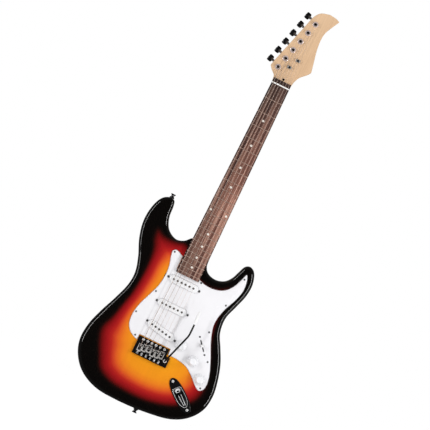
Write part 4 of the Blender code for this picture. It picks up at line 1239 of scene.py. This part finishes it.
def make_jack():
    """Boat-shaped plate whose dish ends in a slanted floor, with the socket's washer and nut."""
    sides = 64
    line = at(*JACK_CENTRE, 0, JACK_LINE_ANGLE)  # x along the plate from its deep end
    socket = at(-12.5, 0, -6, radians(45), "Y")  # on the floor, z the way a plug leaves

    def oval(centre, half_length, half_width, z):
        return [(centre + x, y, z) for x, y in superellipse(half_length, half_width, 2.4, sides)]

    def dish(grow, z):
        """Mouth of the dish: nearly square at the deep end, drawn in at the other."""
        square, long = (superellipse(24.2 + grow, 11.2 + grow, power, sides) for power in (5, 2))
        ring = []
        for near, far in zip(square, long):
            share = blend(far.x, -16, 6)
            x, y = (one + (other - one) * share for one, other in zip(near, far))
            ring.append(Vector((5 + x, y, z)))
        return ring

    def disc(radius, height):
        return [socket @ Vector(point) for point in at_height(circle(0, 0, radius, sides), height)]

    rim, floor = dish(-0.9, GAP + 0.5), disc(6.9, 0)
    scoop = []
    for share in (step / 9 for step in range(1, 9)):
        scoop.append([(start.x + (end.x - start.x) * share, start.y + (end.y - start.y) * share,
                       start.z + (end.z - start.z) * share ** 0.8) for start, end in zip(rim, floor)])
    rings = [oval(0, 43, 14, GAP), oval(0, 43, 14, GAP + 0.8), oval(0, 42.6, 13.7, GAP + 1.4),
             oval(0, 41.8, 13, GAP + 1.8), oval(0, 41.4, 12.7, GAP + 1.9), dish(0.5, GAP + 1.9),
             dish(0, GAP + 1.75), dish(-0.6, GAP + 1.2), rim, *scoop, floor,
             disc(5.1, 0), disc(5.1, -1.3), disc(8, -1.3), oval(4.8, 25.8, 12.1, GAP - 0.9),
             oval(4.8, 26.8, 12.8, GAP)]
    # The band at the mouth of the dish takes the near-white finish: a painted highlight round the recess.
    painted_highlight_bands = [int(index == 6) for index in range(len(rings))]
    boat = solid("jack_plate_boat", rings, [jack_black, painted_glint_chrome], frame_=line,
                 node="jack_plate", closed=True, ring_materials=painted_highlight_bands, angle=45)
    # Two bright strips laid along the dish are painted reflections, not ribs of the plate.
    for number, offset in enumerate((-3.4, 2.6), 1):
        path = []
        for share in (step / 14 for step in range(15)):
            over = BENCH @ line @ Vector((-1 + 25.5 * share, offset * (1 - 0.45 * share ** 2), 30))
            hit, place, _, _ = boat.ray_cast(over, Vector((0, 1, 0)))
            if hit:
                path.append(to_bench(place))
        solid(f"jack_plate_painted_reflection_{number}", tube(path, 0.7, 8), painted_glint_chrome, angle=60)
    frame_ = line @ socket
    barrel = turned([(3.3, -13), (3.3, 2.9), (4.7, 2.9), (4.9, 2.6), (4.9, -1.9), (7, -1.9), (7, -15)], 32)
    # The bore's wall takes the black: painted shade inside the socket.
    solid("jack_socket_barrel", barrel, [painted_glint_chrome, bobbin_black_and_painted_shade], frame_=frame_,
          node="jack_socket", ring_materials=[1, 0, 0, 0, 0, 0])
    washer = turned([(5, 0.05), (6.7, 0.05), (6.7, 0.6), (5, 0.6)], 32)
    solid("jack_washer", washer, painted_glint_chrome, frame_=frame_, closed=True)
    nut = turned([(6.2, 0.65), (6.3, 0.9), (6.3, 2.2), (6, 2.5)], 6)
    nut = solid("jack_nut", nut, painted_glint_chrome, frame_=frame_)
    carve(nut, [(turned([(4.95, 0.2), (4.95, 4)]), frame_)])
    head = cross_head("jack_screw_head", 2.9, 1.3, painted_glint_chrome)
    screws("jack_screw", head, [line @ at(x, 0, GAP + 1.9) for x in (-35.8, 35.8)])


# --- tremolo ---


def string_x(string, pitch, centre=0.0):
    return centre + pitch * (3.5 - string)


def bridge_x(string):
    return string_x(string, BRIDGE_PITCH, BRIDGE_CENTRE)


def make_tremolo():
    """Bridge plate with its rear flange, pivot screws and arm socket."""
    low, high, _ = bench_box("tremolo_plate")
    left, right, front, rear = low.x, 35.5, high.y, low.y
    outline = [(left, rear), (high.x, rear), (high.x, -653.4), (right + 2, -653.4), (right, -651.4),
               (right, front), (left, front)]
    plate = solid("bridge_plate", extruded(outline, PLATE_BOTTOM, PLATE_TOP), black_plate,
                  "tremolo", node="tremolo_plate")
    holes = [extruded(circle(bridge_x(string), STRING_HOLE_Y, 2.2), -4, 8) for string in STRINGS]
    wedge = ((front + 2, -1), (front + 2, 2.2), (PIVOT_Y, -1))
    carve(plate, [*holes, [[(x, y, z) for y, z in wedge] for x in (left - 5, right + 9)]])
    bevel(plate, 0.5)
    flange = solid("bridge_flange", box(left, right, rear, rear + 2.2, PLATE_TOP - 0.6, high.z),
                   black_plate, "tremolo", edge=0.6)
    sunk = extruded(circle(0, 0, 2.5), -1.3, 2)
    carve(flange, [(sunk, at(bridge_x(string), rear, SADDLE_SCREW_Z, QUARTER, "X")) for string in STRINGS])
    head = cross_head("pivot_screw_head", 2.8, 1.8, painted_glint_chrome)
    screws("pivot_screw", head, [at(bridge_x(string), PIVOT_Y, PLATE_TOP + 0.05) for string in STRINGS])
    arm = pivot_of("arm_swing")
    socket = turned([(2.6, -6), (2.6, 1.5), (3.9, 1.5), (3.9, 0.3), (3.7, 0), (3.7, -6)], 28)
    solid("arm_socket", socket, painted_glint_chrome, "tremolo", at(arm.x, arm.y, PLATE_TOP), closed=True)


def make_saddle(string, intonation_head):
    """Bent saddle with its height screws, and the screw and spring that set its place."""
    node, foot = f"saddle_{string}", PLATE_TOP + GAP
    _, high, middle = bench_box(node)
    x, front, crest = middle.x, high.y, high.z
    rear, flange = front - SADDLE_LENGTH, bench_box("tremolo_plate")[0].y
    profile = [  # a front leg up to the crest, a roof that falls back, and a rear leg
        (front, foot), (front, crest - 0.6), (front - 0.3, crest - 0.1), (front - 0.8, crest),
        (front - 1.6, crest - 0.1), (front - 3.2, crest - 1.1), (rear + 0.8, crest - 2.5),
        (rear + 0.2, crest - 2.8), (rear, crest - 3.4), (rear, foot), (rear + 1.8, foot),
        (rear + 1.8, crest - 4), (front - 2.4, crest - 3), (front - 1.8, foot),
    ]
    bent = [[(x + side, y, z) for y, z in profile] for side in (-4.95, 4.95)]
    saddle = solid(f"{node}_steel", bent, saddle_steel, node, node=node)
    z = SADDLE_SCREW_Z
    bore = extruded(circle(0, 0, 1.5, 16), SADDLE_LENGTH - 4, SADDLE_LENGTH + 4)
    slot = extruded(rounded(x, front - 8.6, 6.2, 11.6, 2.2, 5), 6, 20)
    carve(saddle, [slot, (bore, at(x, front, z, QUARTER, "X"))])
    bevel(saddle, 0.4)
    for number, side in ((1, -3.1), (3, 3.1)):
        grub = turned([(1.45, PLATE_TOP + 0.1), (1.45, crest + 0.9), (1.1, crest + 1.1),
                       (0.75, crest + 1.1), (0.75, crest - 0.2)], 16)
        solid(f"{node}_height_screw_{number}", grub, dark_screw, node,
              at(x + side, front - 2.2), angle=30)
    screw = tube([(x, STRING_HOLE_Y - 3, z), (x, flange + 0.8, z)], 1.3, 14)
    solid(f"{node}_intonation_screw", screw, dark_screw, "tremolo")
    start, end = flange + 2.4, rear - 0.2
    turns = min(9, int((end - start - SADDLE_TRAVEL_BACK) / 0.72))
    path = coil(x, z, 2, start, end, turns, 12)
    spring = solid(f"{node}_intonation_spring", tube(path, 0.32, 6), coil_chrome, None, angle=60)
    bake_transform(spring)
    show(f"{node}_intonation_head", intonation_head, None, "tremolo",
         place=place_in_world(at(x, flange + 1, z, QUARTER, "X")))


def make_arm():
    """Whammy bar up out of the block, bent over the controls, with a white tip."""
    x, y, _ = pivot_of("arm_swing")
    sweep = smooth([(x, y, 10), (x + 0.9, y + 3, 16), (x + 3.4, y + 12, 22), (x + 10, y + 33, 26),
                    (57.2, -600, 28.2), (60.2, -589.5, 28.6), (60.8, -578, 29), (60.3, -552, 28.6),
                    (59.4, -530.5, 28)], 12)
    path = [Vector((x, y, -16)), Vector((x, y, 4)), *sweep]
    tip_start = next(index for index, point in enumerate(path) if point.y > -562)
    solid("whammy_bar", tube(path[:tip_start + 2], 2.1, 20), black_plate, "tremolo_arm",
          node="tremolo_arm", angle=60)
    grip = path[tip_start:]
    end = grip[-1] + (grip[-1] - grip[-2]).normalized() * 0.9
    radii = [2.3, 2.9] + [3.2] * (len(grip) - 6) + [3.1, 2.9, 2.5, 1.0]
    solid("whammy_bar_tip", tube(grip[:-1] + [end], radii, 24), tip_white, "tremolo_arm",
          angle=60)
    collar = turned([(2.2, 0.2), (3.4, 0.2), (3.6, 0.6), (3.6, 4), (3.1, 4.7), (2.2, 4.7)], 28)
    solid("whammy_bar_collar", collar, painted_glint_chrome, "tremolo_arm", at(x, y, PLATE_TOP + 1.5),
          closed=True)


def make_springs():
    """Three coil springs from the claw to the block."""
    for number in (1, 2, 3):
        node = f"tremolo_spring_{number}"
        low, high, (x, _, z) = bench_box(node)
        start, end = high.y - 5.5, low.y + 7.5
        path = [(x, high.y, z), (x, start + 1.5, z), *coil(x, z, 3.5, start, end, 52, 10),
                (x, end - 1.5, z), (x, low.y, z)]
        spring = solid(f"return_spring_{number}", tube(path, 0.55, 6), spring_steel, None,
                       node=node, angle=60)
        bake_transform(spring)


def make_spring_cover():
    """Three-ply cover on the back, with a window for the string ends and six screws."""
    low, _, centre = bench_box("spring_cover")
    layers = [(0, BACK), (0, BACK - 0.5), (0.2, BACK - 0.7), (0.5, BACK - 1), (0.9, BACK - 1.6),
              (1.1, low.z)]
    outline = rounded(centre.x, centre.y, 83, 140, 6, 8)
    cover = make_sheet("spring_cover_sheet", outline, layers, "spring_cover")
    carve(cover, [extruded(rounded(0, -659, 66, 14, 6.5, 8), BACK - 4, BACK + 4)])
    head = cross_head("cover_screw_head", 2.5, 0.9, nickel, countersunk=True)
    places = [at(x, centre.y + y, low.z) @ FLIP for x in (-36.5, 36.5) for y in (-65, 0, 65)]
    screws("spring_cover_screw", head, places)


# --- strings and strap buttons ---

TREES = {1: (11, 67.5), 2: (11, 67.5), 3: (0, 46.5), 4: (0, 46.5)}  # place of each string's tree


def string_route(string):
    """From its post, wrapped round it, under the tree, over nut and saddle, into the block."""
    radius = STRING_RADII[string - 1]
    post = pivot_of(f"tuner_post_{string}_turn")
    wrap = 2.62 + radius  # lies on the post's waist
    turns, steps = 2.5, 24
    pitch = 2 * radius + 0.08
    top = min(5.0, 2.9 + turns * pitch)
    points = [(post.x, post.y, top), (post.x - wrap + 0.6, post.y, top)]
    for step in range(int(turns * steps) + 1):
        angle = pi - tau * step / steps
        points.append((post.x + wrap * cos(angle), post.y + wrap * sin(angle),
                       top - pitch * step / steps))
    x = string_x(string, NUT_PITCH)
    nut = Vector((x, 0.8, NUT_TOP + GAP + radius - radius_drop(x)))
    if string in TREES:
        leave = Vector(points[-1])
        hold = leave.lerp(nut, (leave.y - TREES[string][1]) / (leave.y - nut.y))
        points.append((hold.x, hold.y, 2.6))
    x = bridge_x(string)
    crest = SADDLE_CREST - radius_drop(x) + 0.06 + radius
    # Level over all of the saddle's travel, then down through its slot and back to the hole
    over = bench_box(f"saddle_{string}")[1].y - SADDLE_TRAVEL_BACK - 1.7
    down = over - 1.9 - radius
    foot = min(max(down, STRING_HOLE_Y - 0.8), STRING_HOLE_Y + 0.5)
    return points + [
        nut, (x, -634.5, crest), (x, over, crest), (x, (over + down) / 2, crest - 0.3),
        (x, down, crest - 1.1), (x, down + 0.6 * (foot - down), crest - 4.5), (x, foot, 2.4),
        (x, STRING_HOLE_Y, -37)]


def make_string(string):
    finish = wound_steel if string > 3 else plain_steel
    wire = solid(f"string_{string}_wire", tube(string_route(string), STRING_RADII[string - 1]), finish,
                 None, node=f"string_{string}", angle=60)
    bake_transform(wire)


def make_strap_button(short, turn, screw_head):
    """Waisted button on a felt ring; turn is -1 for one that points to the headstock."""
    low, high, (x, _, z) = bench_box(f"{short}_strap_button")
    profile = [(5.2, 0.55), (5.4, 1), (4.7, 1.8), (3.5, 3.5), (3.4, 5), (3.8, 6.3), (5.3, 7.3),
               (5.8, 8.1), (5.7, 8.8), (5, 9.3), (3.4, 9.4)]
    widest, tall = max(profile)[0], profile[-1][1]
    scale = min(high.x - low.x, high.z - low.z) / 2 / widest
    frame_ = at(x, high.y - tall if turn < 0 else low.y + tall, z, turn * QUARTER, "X")
    knob = turned([(radius * scale, height) for radius, height in profile], 32)
    solid(f"{short}_strap_knob", knob, dark_chrome, frame_=frame_,
          node=f"{short}_strap_button", angle=50)
    solid(f"{short}_strap_felt", turned([(5.9, -0.6), (6.1, -0.2), (6.1, 0.4), (5.6, 0.7)], 28), felt,
          frame_=frame_)
    screws(f"{short}_strap_screw", screw_head, [frame_ @ at(0, 0, 8)])


def finish_node(node, finish):
    """Gives a CAD node that stays in view its finish."""
    materials = frame["nodes"][node].data.materials
    for index in range(len(materials)):
        materials[index] = finish


make_body()
make_neck()
make_fingerboard()
make_nut()
make_neck_plate()
small_head = cross_head("small_screw_head", 1.7, 0.7, dark_screw)
for string in STRINGS:
    make_tuner(string, small_head)
tree_head = cross_head("tree_screw_head", 2.8, 1, dark_screw)
for number, string in enumerate((4, 2), 1):
    make_string_tree(number, *TREES[string], tree_head)
guard_head = make_pickguard()
height_head = cross_head("height_screw_head", 2.9, 1.2, grey_screw)
for node in PICKUP_ANGLES:
    make_pickup(node, height_head)
for name in KNOB_NAMES:
    make_knob(name)
make_switch(guard_head)
make_jack()
make_tremolo()
intonation_head = cross_head("intonation_screw_head", 2.2, 1.3, dark_screw)
for string in STRINGS:
    make_saddle(string, intonation_head)
make_arm()
make_springs()
make_spring_cover()
for string in STRINGS:
    make_string(string)
strap_head = cross_head("strap_screw_head", 3, 1.4, dark_chrome)
make_strap_button("horn", -1, strap_head)
make_strap_button("tail", 1, strap_head)
for node in ("tremolo_block", "spring_claw", "switch_frame", *(f"{name}_pot" for name in KNOB_NAMES)):
    finish_node(node, cast_steel)
finish_node("truss_rod", dark_screw)

# --- stage, lights and camera ---

FLOOR_Z = -0.96
AIM = Vector((-0.0049, 0, -0.322))
ROOM_LIGHT = 0.63


def floor_finish():
    """Pale paint, lifted to white for the camera with its shadow kept, fading out at the rim."""
    made = Finish("floor_white", (0.86, 0.86, 0.86), 0.9)
    ray = made.node("LightPath")["Is Camera Ray"]
    apart = made.node("VectorMath", {0: made.coordinates()}, operation="LENGTH")["Value"]
    made.set(Emission_Color=(1, 1, 1), Alpha=made.between(apart, 1.0, 0.0, 1.0, 2.6),
             Emission_Strength=made.node("Math", {0: ray, 1: 0.5}, operation="MULTIPLY")["Value"])
    return made.material


def make_floor():
    """Round floor below the hanging guitar."""
    work = bmesh.new()
    bmesh.ops.create_circle(work, cap_ends=True, segments=96, radius=2.6)
    floor = add("floor", done(work, "floor"))
    floor.data.materials.append(floor_finish())
    floor.location = (0, 0, FLOOR_Z)
    floor.visible_glossy = False


def softbox(name, place, size, power):
    """Area lamp that faces the middle of the guitar."""
    lamp = bpy.data.lights.new(name, "AREA")
    lamp.shape = "RECTANGLE"
    lamp.size, lamp.size_y = size
    lamp.energy = power
    thing = add(name, lamp)
    thing.location = place
    thing.rotation_mode = "QUATERNION"
    thing.rotation_quaternion = (AIM - Vector(place)).to_track_quat("-Z", "Y")


def make_world():
    """A dim room as a light; white to the camera, and in reflections white only behind the guitar."""
    world = bpy.data.worlds.new("studio")
    SCENE.world = world
    world.use_nodes = True
    made = Nodes(world.node_tree)
    path = made.node("LightPath")
    y = made.axes(made.node("TexCoord")["Generated"])["Y"]
    behind, around_it = made.between(y, 0.0, 0.3, 0.86, 0.95), made.between(y, 0.03, 0.11, -0.92, -0.6)
    reflected = made.node("Math", {0: behind, 1: around_it})["Value"]
    strength = ROOM_LIGHT
    for ray, seen in (("Glossy", reflected), ("Transmission", 1.0), ("Camera", 1.0)):
        strength = made.node("Mix", {"Factor": path[f"Is {ray} Ray"], "A": strength, "B": seen})["Result"]
    background = world.node_tree.nodes["Background"].inputs
    feed(background["Color"], (1, 1, 1))
    feed(background["Strength"], strength)


def make_camera():
    """Long lens square to the face, rolled so that the neck leans to the right."""
    data = bpy.data.cameras.new("camera")
    data.sensor_width = 36
    data.lens = 225.2
    data.clip_end = 50
    camera = add("camera", data)
    lean, distance = radians(26), 6
    camera.matrix_world = Matrix((
        (cos(lean), -sin(lean), 0, AIM.x),
        (0, 0, -1, -distance),
        (sin(lean), cos(lean), 0, AIM.z),
        (0, 0, 0, 1),
    ))
    SCENE.camera = camera


make_floor()
make_world()
softbox("strip_bass", (-2.37, -1.86, -0.32), (0.24, 2.4), 32)
softbox("strip_treble", (2.37, -1.86, -0.32), (0.2, 2.4), 50)
make_camera()

SCENE.view_settings.view_transform = "Standard"
